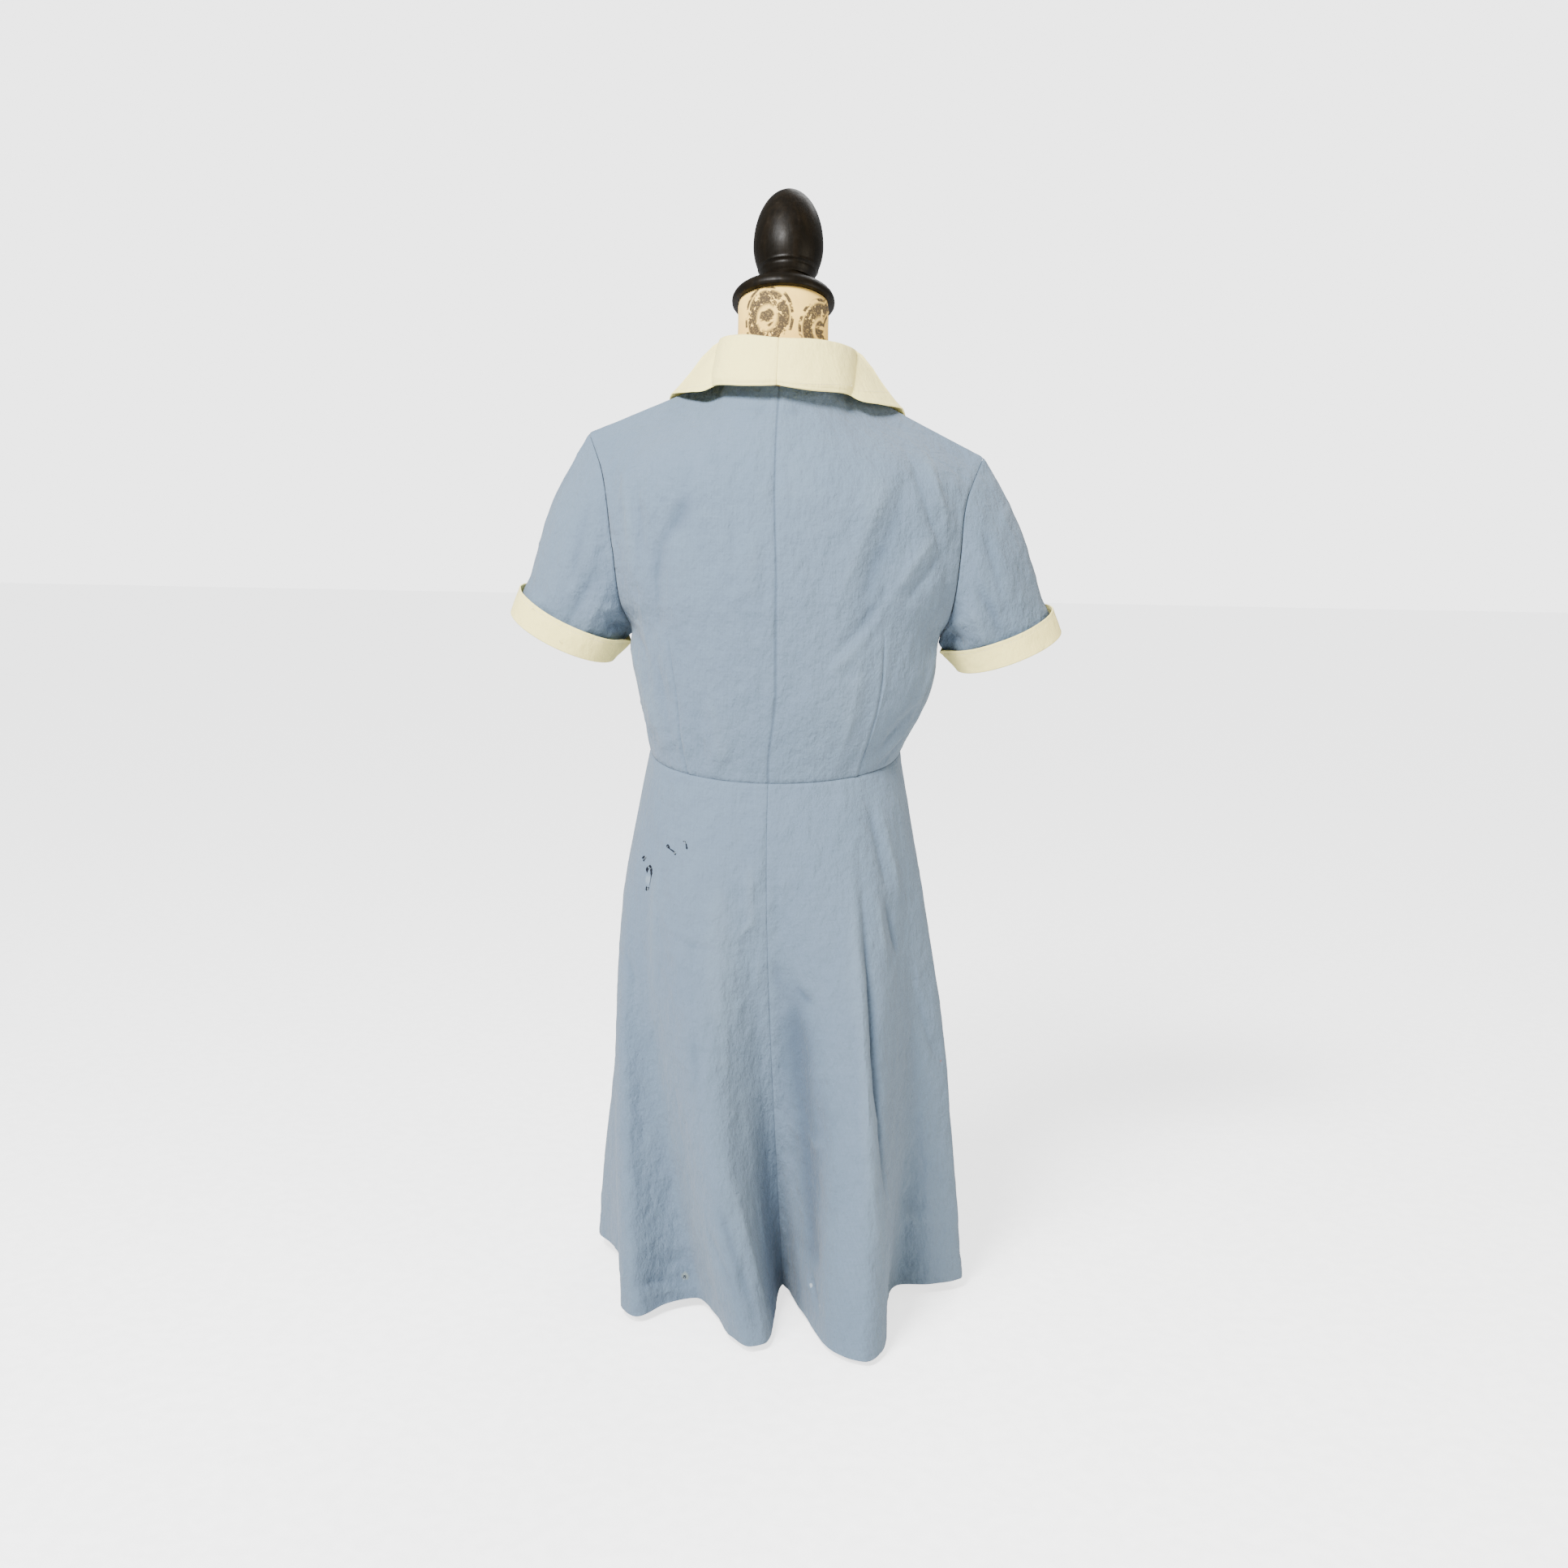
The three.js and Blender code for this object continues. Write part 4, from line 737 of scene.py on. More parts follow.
def spread(places, count):
    """Places from 0 to 1 in count steps, with the given places among them and doubled close beside."""
    beside = 0.0045
    steps_off = (-2 * beside, -beside, 0, beside, 2 * beside)
    marks = sorted({0.0, 1.0, *[m + d for m in places for d in steps_off]})
    out = []
    for low, high in zip(marks[:-1], marks[1:]):
        steps = max(1, round((high - low) * count))
        out += list(np.linspace(low, high, steps, endpoint=False))
    return np.array(out + [1.0])


def seam_groove(distance, depth=0.55, width=0.8):
    """A seam's groove, with the soft ridge of its pressed-open allowance beside it."""
    return -depth * np.exp(-((distance / width) ** 2)) + 0.4 * np.exp(-(((distance - 5) / 3.5) ** 2))


def seam_line(*distances, width=0.5):
    """How near a seam each place is, from 1 on it to 0 a little beside it."""
    return np.max([np.exp(-((distance / width) ** 2)) for distance in distances], axis=0)


def bodice_rows(count):
    """Shares of the rows up a bodice panel, close together beside its seams."""
    ends = np.array([0.004, 0.009, 0.016])
    return np.concatenate([[0], ends, np.linspace(0.024, 0.976, count), 1 - ends[::-1], [1]])


def dart_place(sign, t):
    """Share of a back panel's row where its waist dart runs at level t, and the dart's apex level."""
    places = np.array(DARTS[sign])
    return np.interp(t, places[:, 1], places[:, 0]) / SIDE, places[-1, 1]


def blue_panel(name, p, n, relief, seam):
    """A finished panel of the blue cloth, from its places, normals, relief and nearness to a seam."""
    outer, inner = layers(p, n, relief, settings().cloth / MM)
    return finish_cloth(shell(name, outer, inner, relief, seam), name, "blue_cotton")


def back_bodice(side):
    """The left (side 1) or right (side -1) back of the bodice, with its waist dart."""
    sizes = settings()
    shares = bodice_rows(sizes.bodice_rows)
    base = spread((0.5,), sizes.bodice_columns)
    s = np.empty((len(shares), len(base)))
    middle = 0.5
    near_dart = np.abs(base - middle) < 0.02
    for j, share in enumerate(shares):
        dart, _apex = dart_place(side, share)
        s[j] = np.where(base <= middle, base / middle * dart, dart + (base - middle) / middle * (1 - dart))
        s[j, near_dart] = dart + (base[near_dart] - middle)
    s = np.sort(s, axis=1)
    a = side * SIDE * s
    t = bodice_top(a) * shares[:, None]
    p = body(a, t)
    n = surface_normal(body, a, t, np.minimum(0, side * SIDE), np.maximum(0, side * SIDE))
    relief = creased(body, p, BACK_CREASES, sizes.crease_strength) + drape_noise(p, 11, sizes.unevenness)
    held = ease(t, 0.0, 0.08) * ease(1 - t, 0, 0.05) * ease(s, 0, 0.06) * ease(1 - s, 0, 0.06)
    relief *= mix(0.35, 1, held)
    run = curve_through([(side * angle, level) for angle, level in DARTS[side]])
    distance, share = near_path(p, body(run[:, 0], run[:, 1]))
    inwards = np.sign(s - run[0, 0] / (side * SIDE))
    fade = ease(1 - share, 0, 0.25)
    relief += fade * (-1.1 * np.exp(-((distance / 1.2) ** 2)))
    relief += fade * 0.9 * np.exp(-(((distance - 3) / 3) ** 2)) * (inwards < 0)
    relief += seam_groove(lengths_along(p, 1)) + seam_groove(lengths_along(p, 0))
    relief += seam_groove((1 - s) * SIDE * 2.4)
    # The dart's stitched line, which the cloth's finish darkens as painted shade.
    dart_shade_line = np.where(share < 0.93, 0.8, 0.0) * seam_line(distance)
    seam = np.maximum(dart_shade_line, seam_line(lengths_along(p, 1), lengths_along(p, 0)))
    name = sided("back_bodice", side)
    seam_edges(a, t, p, n, side)
    return blue_panel(name, p, n, relief, seam)


def seam_edges(a, t, p, n, side):
    """Sets a bodice panel's edges close to its seams and makes their ends square to them."""
    away = np.abs(a)
    front = away > SIDE
    s = np.where(front, 180 - away, away) / SIDE
    forward = np.where(front, -1, 1)
    middle = (np.abs(s) < 1e-9) & ~front
    n[..., 0][middle] = 0
    p[..., 0][middle] += side * SEAM_SPACE / 2
    sides = (s > 0.9999) & (t <= UNDERARM)
    top = (t > 0.99999) & (s >= NECKLINE_SHARE - 1e-6)
    for edge in (sides, top):
        n[..., 1][edge] = 0
        p[..., 1][edge] += forward[edge] * SEAM_SPACE / 2
    n[0, :, 2] = 0
    p[0, :, 2] += SEAM_SPACE / 2
    n[:] = unit(n)


def front_bodice(side):
    """The left or right front of the bodice, which laps past the centre front."""
    sizes = settings()
    shares = bodice_rows(sizes.bodice_rows)
    base = spread((), sizes.bodice_columns)
    lap = np.linspace(-1, 1, 9)[:-1]
    away = np.empty((len(shares), len(lap) + len(base)))
    for j, share in enumerate(shares):
        edge = angle_at(OVERLAP, V_LEVEL * share)
        away[j] = np.concatenate([lap * edge, edge + base * (SIDE - 1e-6 - edge)])
    edges = away[:, :1] * -1
    crossed = away < 0
    off = 180 - np.abs(away)
    t = bodice_top(off, crossed) * shares[:, None]
    a = side * (180 - away)
    p = body(a, t)
    low, high = (SIDE, 180 + edges) if side > 0 else (-180 - edges, -SIDE)
    n = surface_normal(body, a, t, low, high)
    relief = creased(body, p, FRONT_CREASES, sizes.crease_strength) + drape_noise(p, 23, sizes.unevenness)
    s = np.abs(away) / SIDE
    held = ease(t, 0.0, 0.08) * ease(1 - shares[:, None], 0, 0.06) * ease(away / edges, 0.9, 4)
    relief *= mix(0.25, 1, held * ease(1 - s, 0, 0.06))
    lift = OVERLAP_LIFT["under" if side > 0 else "over"]
    relief += lift * (1 - ease(away, edges, edges * 3))
    relief += seam_groove(lengths_along(p, 0)) + seam_groove((1 - s) * SIDE * 2.6)
    seam = seam_line(lengths_along(p, 0), (1 - s) * SIDE * 2.6)
    seam_edges(a, t, p, n, side)
    name = sided("front_bodice", side)
    return blue_panel(name, p, n, relief, seam)


def skirt_angles(low, high, step):
    """Angles of a skirt panel's columns, even along the hem."""
    fine = np.linspace(low, high, 1200)
    hem = skirt(fine, 1)[..., :2]
    way = np.concatenate([[0], np.cumsum(np.linalg.norm(np.diff(hem, axis=0), axis=1))])
    evened = 0.6 * way / way[-1] + 0.4 * np.linspace(0, 1, len(way))
    count = round(way[-1] / step)
    inner = np.interp(np.linspace(0, 1, count), evened, fine)
    close = 0.12
    first = [low, low + close, low + 2.4 * close]
    last = [high - 2.4 * close, high - close, high]
    return np.concatenate([first, inner[1:-1], last])


# The skirt's length and the depth of its turned-up hem in mm.
SKIRT_LENGTH, HEM_DEPTH = 560, 26
# How far above the hem's edge its stitches run in mm.
HEM_STITCH = 25.5
SKIRT_PANELS = (("skirt_back_left", 0, 90), ("skirt_front", 90, 270), ("skirt_back_right", 270, 360))


def skirt_panel(name, low, high):
    """A panel of the skirt between two seams."""
    sizes = settings()
    a = np.unique(skirt_angles(low, high, sizes.skirt_column / MM))
    v = np.concatenate([[0, 0.003, 0.007], np.linspace(0.012, 0.985, sizes.skirt_rows), [0.992, 0.997, 1]])
    a, v = np.meshgrid(a, v)
    p = skirt(a, v)
    n = -surface_normal(skirt, a, v, low, high)
    n[v == 0] = unit(n[v == 0] * (1, 1, 0))
    rows = SKIRT_CREASES + tuple((*row[:4], *((x + 360, y) for x, y in row[4:])) for row in SKIRT_CREASES)
    near = [row for row in rows if any(low - 12 < place[0] < high + 12 for place in row[4:])]
    relief = creased(skirt, p, near, sizes.crease_strength)
    relief += drape_noise(p, 37, sizes.unevenness) * mix(0.45, 1.0, ease(v, 0.05, 0.5))
    edge = np.minimum(a - low, high - a)
    relief *= mix(0.3, 1, ease(v, 0, 0.06)) * mix(0.35, 1, ease(edge, 0, 3.5))
    relief += seam_groove(lengths_along(p, 0)) + seam_groove(lengths_along(p, 1), 0.7)
    far_end = lengths_along(p[:, ::-1], 1)[:, ::-1]
    relief += seam_groove(far_end, 0.7)
    seam = seam_line(lengths_along(p, 0), lengths_along(p, 1), far_end)
    above_hem = (1 - v) * SKIRT_LENGTH - HEM_DEPTH
    relief += -0.5 * np.exp(-((above_hem / 1.8) ** 2)) + 0.35 * ease(-above_hem, 0, 4)
    for column, way in ((0, 1), (-1, -1)):
        seam_angle = a[0, column] % 360
        axis = 0 if seam_angle == 0 else 1
        n[:, column, axis] = 0
        n[:, column] = unit(n[:, column])
        p[:, column, axis] += (-way if seam_angle == 90 else way) * SEAM_SPACE / 2
    p[0, :, 2] -= SEAM_SPACE / 2
    return blue_panel(name, p, n, relief, seam)


def sleeve_grid(rows, turns):
    """Places, points and normals of the sleeve as a closed grid."""
    g, f = np.meshgrid(rows, np.arange(turns) / turns, indexing="ij")
    p = sleeve(f, g)
    return f, g, p, grid_normals(p, ring=True)


def outward_from(p, n):
    """Turns normals of a tube away from the middle of each of its rows."""
    centre = p.mean(axis=1, keepdims=True)
    return n * np.where(np.sum((p - centre) * n, -1).mean() < 0, -1, 1)


def sided(name, side):
    """A piece's name with its side of the dress."""
    return name + ("_left" if side > 0 else "_right")


def mirrored(p, side):
    """Left-hand points, or their mirror image for the right side."""
    return p * np.array([side, 1, 1])


def sleeve_piece(side):
    """A short set-in sleeve, the left one mirrored for the right."""
    sizes = settings()
    rows = np.concatenate([[0, 0.008, 0.018], np.linspace(0.03, 1, sizes.sleeve_rows)])
    f, g, p, n = sleeve_grid(rows, sizes.sleeve_turns)
    n = outward_from(p, n)
    relief = creased(sleeve, p, SLEEVE_CREASES, sizes.crease_strength)
    relief += drape_noise(p, 51 + side, sizes.unevenness)
    relief *= mix(0.25, 1, ease(g, 0, 0.15)) * mix(0.3, 1, ease(1 - g, 0, 0.15))
    relief += seam_groove(lengths_along(p, 0), 0.6)
    away = unit(unit(sleeve(f[0], 0.03) - p[0]) + (1, 0, 0))
    top = ease(np.cos(f[0] * 2 * math.pi), -0.8, 0.3)[:, None]
    back = f[0] <= 0.5
    edge_a = np.where(back, SIDE, SIDE + 1e-6)
    low, high = np.where(back, 0, SIDE), np.where(back, SIDE, 180)
    edge = surface_normal(body, edge_a, np.full_like(f[0], 0.9), low, high)
    p[0] += away * GAP * 2.2
    n[0] = unit(mix(n[0], edge, top * 0.7))
    outer = hang(mirrored(p + n * relief[..., None], side))
    inner = hang(mirrored(p + n * (relief - sizes.cloth / MM)[..., None], side))
    name = sided("sleeve", side)
    made = shell(name, outer, inner, relief, seam_line(lengths_along(p, 0)), True)
    return finish_cloth(made, name, "blue_cotton")


def cuff_outline():
    """Places of a turned-up cuff's section: down past the sleeve's end and out from its outer face."""
    low = GAP + CUFF["bottom"]
    reach, flare, depth = CUFF["reach"], CUFF["flare"], CUFF["depth"]
    wall = 1.3
    outer_low, outer_top = reach, reach + flare
    places = [(0.6, -CLOTH), (low - 0.9, -CLOTH)]
    for turn in np.linspace(0, math.pi / 2, 5):
        places.append((low - 0.9 + 0.9 * math.sin(turn), -CLOTH + 0.9 * (1 - math.cos(turn))))
    for turn in np.linspace(0, math.pi / 2, 6):
        places.append((low - 1.5 + 1.5 * math.cos(turn), outer_low - 1.5 + 1.5 * math.sin(turn)))
    for share in np.linspace(0.08, 0.97, 22):
        places.append((mix(0, -depth, share), mix(outer_low, outer_top, share)))
    for turn in np.linspace(0, math.pi, 7):
        places.append((-depth - 0.35 * math.sin(turn), outer_top - wall / 2 + wall / 2 * math.cos(turn)))
    for share in np.linspace(0.97, 0.08, 22):
        places.append((mix(0, -depth, share), mix(outer_low, outer_top, share) - wall))
    places += [(0.6, outer_low - wall), (0.5, 0.2)]
    return np.array(places)


def cuff_piece(side):
    """A cream cuff that folds out under the sleeve's end and stands up round it."""
    sizes = settings()
    turns = sizes.sleeve_turns
    _f, _g, p, n = sleeve_grid(np.array([0.9, 0.95, 1.0]), turns)
    n = outward_from(p, n)[-1]
    axis = unit(p[-1] - p[0])
    section = cuff_outline()
    ring = p[-1][:, None] + axis[:, None] * section[:, 0, None] + n[:, None] * section[:, 1, None]
    standing = np.clip(-section[:, 0] / CUFF["depth"], 0, 1)
    waver = 0.7 * uneven(ring, 30, 71 + side) + 0.25 * uneven(ring, 11, 72 + side)
    crease = 0.25 * np.exp(-(((section[:, 0] + 21) / 1.2) ** 2))
    ring = ring + n[:, None] * (waver * standing - crease)[..., None]
    ring = hang(mirrored(ring, side))
    count = len(section)
    quads = grid_quads(lambda i, j: (i % turns) * count + j % count, turns, count)[:, FLIPPED]
    uv = np.stack([lengths_along(ring, 0), lengths_along(ring, 1)], -1).reshape(-1, 2)
    relief = (waver * standing).ravel()
    name = sided("cuff", side)
    made = mesh_object(name, ring.reshape(-1, 3), quads, uv, {"relief": relief}, 50)
    return finish_cloth(made, name, "cream_cotton")


# How long the collar's fall is from its roll to its edge in mm.
COLLAR_FALL = 60


def collar_piece(side):
    """Half of the cream collar: it stands from the neckline, rolls over and falls on the shoulders."""
    sizes = settings()
    fall_rows = np.linspace(1.23, 2, sizes.collar_rows)
    k = np.concatenate([np.linspace(0, 0.9, 14), np.linspace(0.93, 1.2, 14), fall_rows])
    q = np.concatenate([[0, 0.004, 0.01], np.linspace(0.02, 1, sizes.collar_columns)])
    k, q = np.meshgrid(k, q, indexing="ij")
    p = collar(q, k)
    along = collar(np.minimum(q + 0.01, 1), k) - collar(np.maximum(q - 0.01, 0), k)
    on = collar(q, np.minimum(k + 0.01, 2)) - collar(q, np.maximum(k - 0.01, 0))
    n = unit(np.cross(along, on))
    n[:, 0] = unit(n[:, 0] * (0, 1, 1))
    p[:, 0, 0] = GAP / 2
    fall = ease(k, 1.02, 1.3)
    soft = 0.5 * uneven(p, 34, 81 + side) + 0.12 * uneven(p, 12, 83)
    relief = fall * (creased(collar, p, COLLAR_CREASES) + soft)
    relief += -0.35 * np.exp(-(((2 - k) * COLLAR_FALL - 5) / 1.1) ** 2) * fall
    relief += -0.5 * np.exp(-((lengths_along(p, 1) / 1.3) ** 2))
    half = sizes.collar_cloth / MM / 2
    from_end = lengths_along(p[:, ::-1], 1)[:, ::-1]
    rim = np.clip((2 - k) * COLLAR_FALL / 1.2, 0, 1) ** 0.5 * np.clip(from_end / 1.2, 0, 1) ** 0.5
    thick = half * mix(0.45, 1, rim)
    outer = hang(mirrored(p + n * (relief + thick)[..., None], side))
    inner = hang(mirrored(p + n * (relief - thick)[..., None], side))
    name = sided("collar", side)
    seam = 0.5 * seam_line(lengths_along(p, 1))
    return finish_cloth(shell(name, outer, inner, relief, seam), name, "cream_cotton")


# ---- materials -------------------------------
def add_node(tree, kind, inputs=(), **facts):
    """A node with its facts set and its inputs joined to sockets or set to values."""
    node = tree.nodes.new(kind)
    for key, value in facts.items():
        setattr(node, key, value)
    for key, value in dict(inputs).items():
        if isinstance(value, bpy.types.NodeSocket):
            tree.links.new(value, node.inputs[key])
        else:
            node.inputs[key].default_value = value
    return node


class Recipe:
    """A node material being made; add puts a node in and joins sockets or sets values by input name."""

    def __init__(self, name, roughness, **fixed):
        self.material = bpy.data.materials.new(name)
        self.material.use_nodes = True
        self.tree = self.material.node_tree
        self.shader = self.tree.nodes["Principled BSDF"]
        self.shader.inputs["Roughness"].default_value = roughness
        for key, value in fixed.items():
            self.shader.inputs[key.replace("_", " ")].default_value = value

    def add(self, kind, inputs=(), **facts):
        return add_node(self.tree, kind, inputs, **facts)

    def coordinates(self, kind):
        return self.add("ShaderNodeTexCoord").outputs[kind]

    def scaled(self, vector, scale, turn=0.0, move=(0, 0, 0)):
        inputs = {"Vector": vector, "Scale": scale, "Rotation": (0, 0, turn), "Location": move}
        return self.add("ShaderNodeMapping", inputs).outputs["Vector"]

    def noise(self, vector, scale, detail=2.0, roughness=0.5):
        inputs = {"Vector": vector, "Scale": scale, "Detail": detail, "Roughness": roughness}
        return self.add("ShaderNodeTexNoise", inputs).outputs["Fac"]

    def wave(self, vector, pitch, direction):
        inputs = {"Vector": vector, "Scale": 0.314 / pitch, "Distortion": 0.6, "Detail": 1.0}
        return self.add("ShaderNodeTexWave", inputs, bands_direction=direction).outputs["Fac"]

    def math(self, operation, a, b=0.0, c=0.0):
        return self.add("ShaderNodeMath", {0: a, 1: b, 2: c}, operation=operation).outputs[0]

    def times(self, a, b):
        return self.math("MULTIPLY", a, b)

    def plus(self, a, b):
        return self.math("ADD", a, b)

    def stretch(self, value, low, high, to_low=0.0, to_high=1.0, smooth=True):
        inputs = {"Value": value, "From Min": low, "From Max": high, "To Min": to_low, "To Max": to_high}
        kind = "SMOOTHSTEP" if smooth else "LINEAR"
        return self.add("ShaderNodeMapRange", inputs, interpolation_type=kind).outputs["Result"]

    def blend(self, share, a, b, way="MIX"):
        inputs = {0: share, 6: a, 7: b}
        return self.add("ShaderNodeMix", inputs, data_type="RGBA", blend_type=way).outputs[2]

    def bump(self, height, distance, strength=1.0, below=None):
        inputs = {"Height": height, "Distance": distance, "Strength": strength}
        if below is not None:
            inputs["Normal"] = below
        return self.add("ShaderNodeBump", inputs).outputs["Normal"]

    def finish(self, colour, normal, roughness=None):
        self.tree.links.new(colour, self.shader.inputs["Base Color"])
        self.tree.links.new(normal, self.shader.inputs["Normal"])
        if roughness is not None:
            self.tree.links.new(roughness, self.shader.inputs["Roughness"])
        return self.material


def opaque(colour):
    """A colour that hides what is behind it."""
    return (*colour, 1.0)


def shade(colour, factor, tint=(1, 1, 1)):
    """A colour made lighter or darker, and tinted."""
    return (*(max(0.0, min(1.0, c * factor * t)) for c, t in zip(colour, tint)), 1.0)


def cotton(name, colour, slub=1.0, crinkle=1.0, spots=()):
    """Plain-woven cotton: uneven threads, ridges lighter (part fading, part painted highlight), painted shade in
    troughs and along seams, soft crinkles, and worn or stained spots.
    """
    m = Recipe(name, 0.88, Sheen_Weight=0.12, Sheen_Roughness=0.6, Specular_IOR_Level=0.22)
    cloth, place = m.coordinates("UV"), m.coordinates("Object")
    warp = m.wave(cloth, 0.00055, "X")
    weft = m.wave(cloth, 0.0006, "Y")
    down = m.noise(m.scaled(cloth, (620, 24, 1)), 1.0, 3)
    across = m.noise(m.scaled(cloth, (22, 560, 1), 0, (3.1, 7.7, 0)), 1.0, 3)
    threads = m.plus(m.times(down, 0.55), m.times(across, 0.45))
    mottle = m.noise(place, 26, 4, 0.6)
    fade = m.noise(m.scaled(place, (1, 1, 0.35)), 9, 2)
    dim, bright = shade(colour, 1 - 0.05 * slub), shade(colour, 1 + 0.05 * slub)
    tone = m.blend(m.stretch(threads, 0.36, 0.64), dim, bright)
    raised = m.add("ShaderNodeAttribute", attribute_name="relief").outputs["Fac"]
    seam_shade_mask = m.add("ShaderNodeAttribute", attribute_name="seam").outputs["Fac"]
    for value, low, high, most, factor, tint in (
        (mottle, 0.35, 0.68, 0.5, 0.95, (0.985, 1, 1.02)),
        (fade, 0.4, 0.7, 0.4, 1.05, (1.02, 1, 0.985)),
        # Ridges lighter and warmer: partly faded cloth, partly painted highlight.
        (raised, 0.4, 3.4, 0.5, 1.16, (1.03, 1, 0.95)),
        # Troughs darker and bluer: painted shade in the folds.
        (raised, -0.3, -6.5, 1, 0.6, (0.94, 1, 1.07)),
        # Along seams and darts: painted shade, darker and bluer, for the shadow in their grooves.
        (seam_shade_mask, 0.3, 1.0, 0.5, 0.35, (0.9, 1, 1.1)),
    ):
        tone = m.blend(m.stretch(value, low, high, 0, most), tone, shade(colour, factor, tint))
    for centre, radius, spot_colour, strength in spots:
        away = m.add("ShaderNodeVectorMath", {0: place, 1: centre}, operation="DISTANCE").outputs["Value"]
        ragged = m.plus(away, m.times(m.noise(place, 420, 3), radius * 0.9))
        tone = m.blend(m.stretch(ragged, radius * 1.5, radius * 0.8, 0, strength), tone, opaque(spot_colour))
    soft = m.noise(m.scaled(place, (1, 1, 0.6)), 55, 4, 0.6)
    fine = m.noise(place, 210, 3, 0.6)
    weave = m.plus(m.times(warp, 0.5), m.times(weft, 0.5))
    normal = m.bump(soft, 0.0055 * crinkle)
    for height, depth in ((fine, 0.0006 * crinkle), (threads, 0.00022 * slub), (weave, 0.00005)):
        normal = m.bump(height, depth, 1, normal)
    return m.finish(tone, normal, m.stretch(threads, 0.3, 0.7, 0.82, 0.94))


def printed_cloth(name, ground, ink):
    """The form's stretched cover with a generic print of broken rings, arcs, dots and short dashes."""
    m = Recipe(name, 0.8, Specular_IOR_Level=0.25, Sheen_Weight=0.1)
    place = m.coordinates("Object")
    warped = m.add("ShaderNodeVectorMath", {0: place}, operation="ADD")
    shift = m.add("ShaderNodeTexNoise", {"Vector": place, "Scale": 16.0, "Detail": 1.0}).outputs["Color"]
    small = m.add("ShaderNodeVectorMath", {0: shift, 1: (0.006, 0.006, 0.006)}, operation="MULTIPLY")
    m.tree.links.new(small.outputs["Vector"], warped.inputs[1])
    spot = warped.outputs["Vector"]

    def cells(scale, randomness, move):
        moved = m.scaled(spot, (1, 1, 1), 0, move)
        inputs = {"Vector": moved, "Scale": scale, "Randomness": randomness}
        node = m.add("ShaderNodeTexVoronoi", inputs, feature="F1")
        return node.outputs["Distance"], node.outputs["Color"]

    def band(distance, middle, width):
        off = m.math("ABSOLUTE", m.math("SUBTRACT", distance, middle))
        return m.stretch(off, width, width * 0.55)

    big, _ = cells(15, 0.75, (0.013, 0.031, 0.007))
    small_cells, _ = cells(75, 1.0, (0.2, 0.1, 0.05))
    gaps = m.stretch(m.noise(place, 95, 3, 0.7), 0.41, 0.45)
    broken = m.stretch(m.noise(m.scaled(place, (1, 1, 2.2)), 60, 2), 0.44, 0.52)
    ring = m.times(band(big, 0.43, 0.095), gaps)
    thin_ring = m.times(band(big, 0.31, 0.03), broken)
    thin_outer = m.times(band(big, 0.54, 0.028), broken)
    inside = m.stretch(big, 0.3, 0.26)
    marks = m.times(m.times(band(small_cells, 0.3, 0.15), gaps), inside)
    rings = m.math("MAXIMUM", m.math("MAXIMUM", ring, thin_ring), thin_outer)
    print_on = m.times(m.math("MAXIMUM", rings, marks), 0.97)
    worn = m.times(print_on, m.stretch(m.noise(place, 700, 2), 0.3, 0.5, 0.75, 1))
    mottle = m.stretch(m.noise(place, 30, 3), 0.35, 0.65)
    ground_tone = m.blend(mottle, shade(ground, 0.94), shade(ground, 1.05))
    tone = m.blend(worn, ground_tone, opaque(ink))
    warp = m.wave(place, 0.0009, "Z")
    weft = m.wave(place, 0.0009, "X")
    normal = m.bump(m.plus(warp, weft), 0.00005)
    normal = m.bump(m.noise(place, 45, 2), 0.0008, 1, normal)
    return m.finish(tone, normal)


def lacquer(name, colour):
    """Satin black-brown lacquer on turned wood, a little worn and uneven."""
    m = Recipe(name, 0.44, Specular_IOR_Level=0.09)
    place = m.coordinates("Object")
    grain = m.noise(m.scaled(place, (60, 60, 6)), 2.2, 5, 0.6)
    dust = m.noise(place, 170, 4, 0.6)
    tone = m.blend(m.stretch(grain, 0.35, 0.7), shade(colour, 0.75), shade(colour, 1.35, (1.1, 1, 0.9)))
    tone = m.blend(m.stretch(dust, 0.6, 0.8, 0, 0.03), tone, (0.2, 0.17, 0.13, 1))
    normal = m.bump(grain, 0.0003)
    normal = m.bump(dust, 0.00012, 1, normal)
    return m.finish(tone, normal, m.stretch(dust, 0.3, 0.7, 0.36, 0.46))


def plain(name, colour, roughness, grain, depth, **fixed):
    """A simple finish with a fine grain: thread, buttons, bare wood, the tears' painted shade and the floor."""
    m = Recipe(name, roughness, **fixed)
    place = m.coordinates("Object")
    speckle = m.noise(place, grain, 3)
    tone = m.blend(m.stretch(speckle, 0.35, 0.65), shade(colour, 0.95), shade(colour, 1.04))
    return m.finish(tone, m.bump(speckle, depth))


def make_materials():
    """Makes each finish once, by its slot's or its own name."""
    look = settings()
    made = {
        "blue_cotton": cotton("Blue cotton", tuple(look.blue), 1.0, 1.0, blue_spots()),
        "cream_cotton": cotton("Cream cotton", tuple(look.cream), 0.5, 0.5),
        "printed_form_cloth": printed_cloth(
            "Printed form cloth", tuple(look.form_ground), tuple(look.form_ink)
        ),
        "black_wood": lacquer("Black lacquered wood", tuple(look.lacquer)),
        "buttons": plain("Cream buttons", tuple(look.button), 0.22, 260, 0.00004, Coat_Weight=0.5),
        "blue_thread": plain("Blue thread", tuple(look.blue_thread), 0.75, 2600, 0.00003),
        "cream_thread": plain("Cream thread", tuple(look.cream_thread), 0.75, 2600, 0.00003),
        "pale_thread": plain("Pale blue thread", (0.36, 0.44, 0.5), 0.8, 2600, 0.00003),
        "loose_thread": plain("Loose thread", (0.42, 0.38, 0.27), 0.8, 2600, 0.00003),
        # Painted shade: near-black finish of the leaves that stand in for the shadowed inside of the tears.
        "dark_gap": plain("Dark gap", (0.012, 0.014, 0.02), 0.95, 800, 0.00003, Specular_IOR_Level=0.05),
    }
    MATERIALS.update(made)


MATERIALS = {}


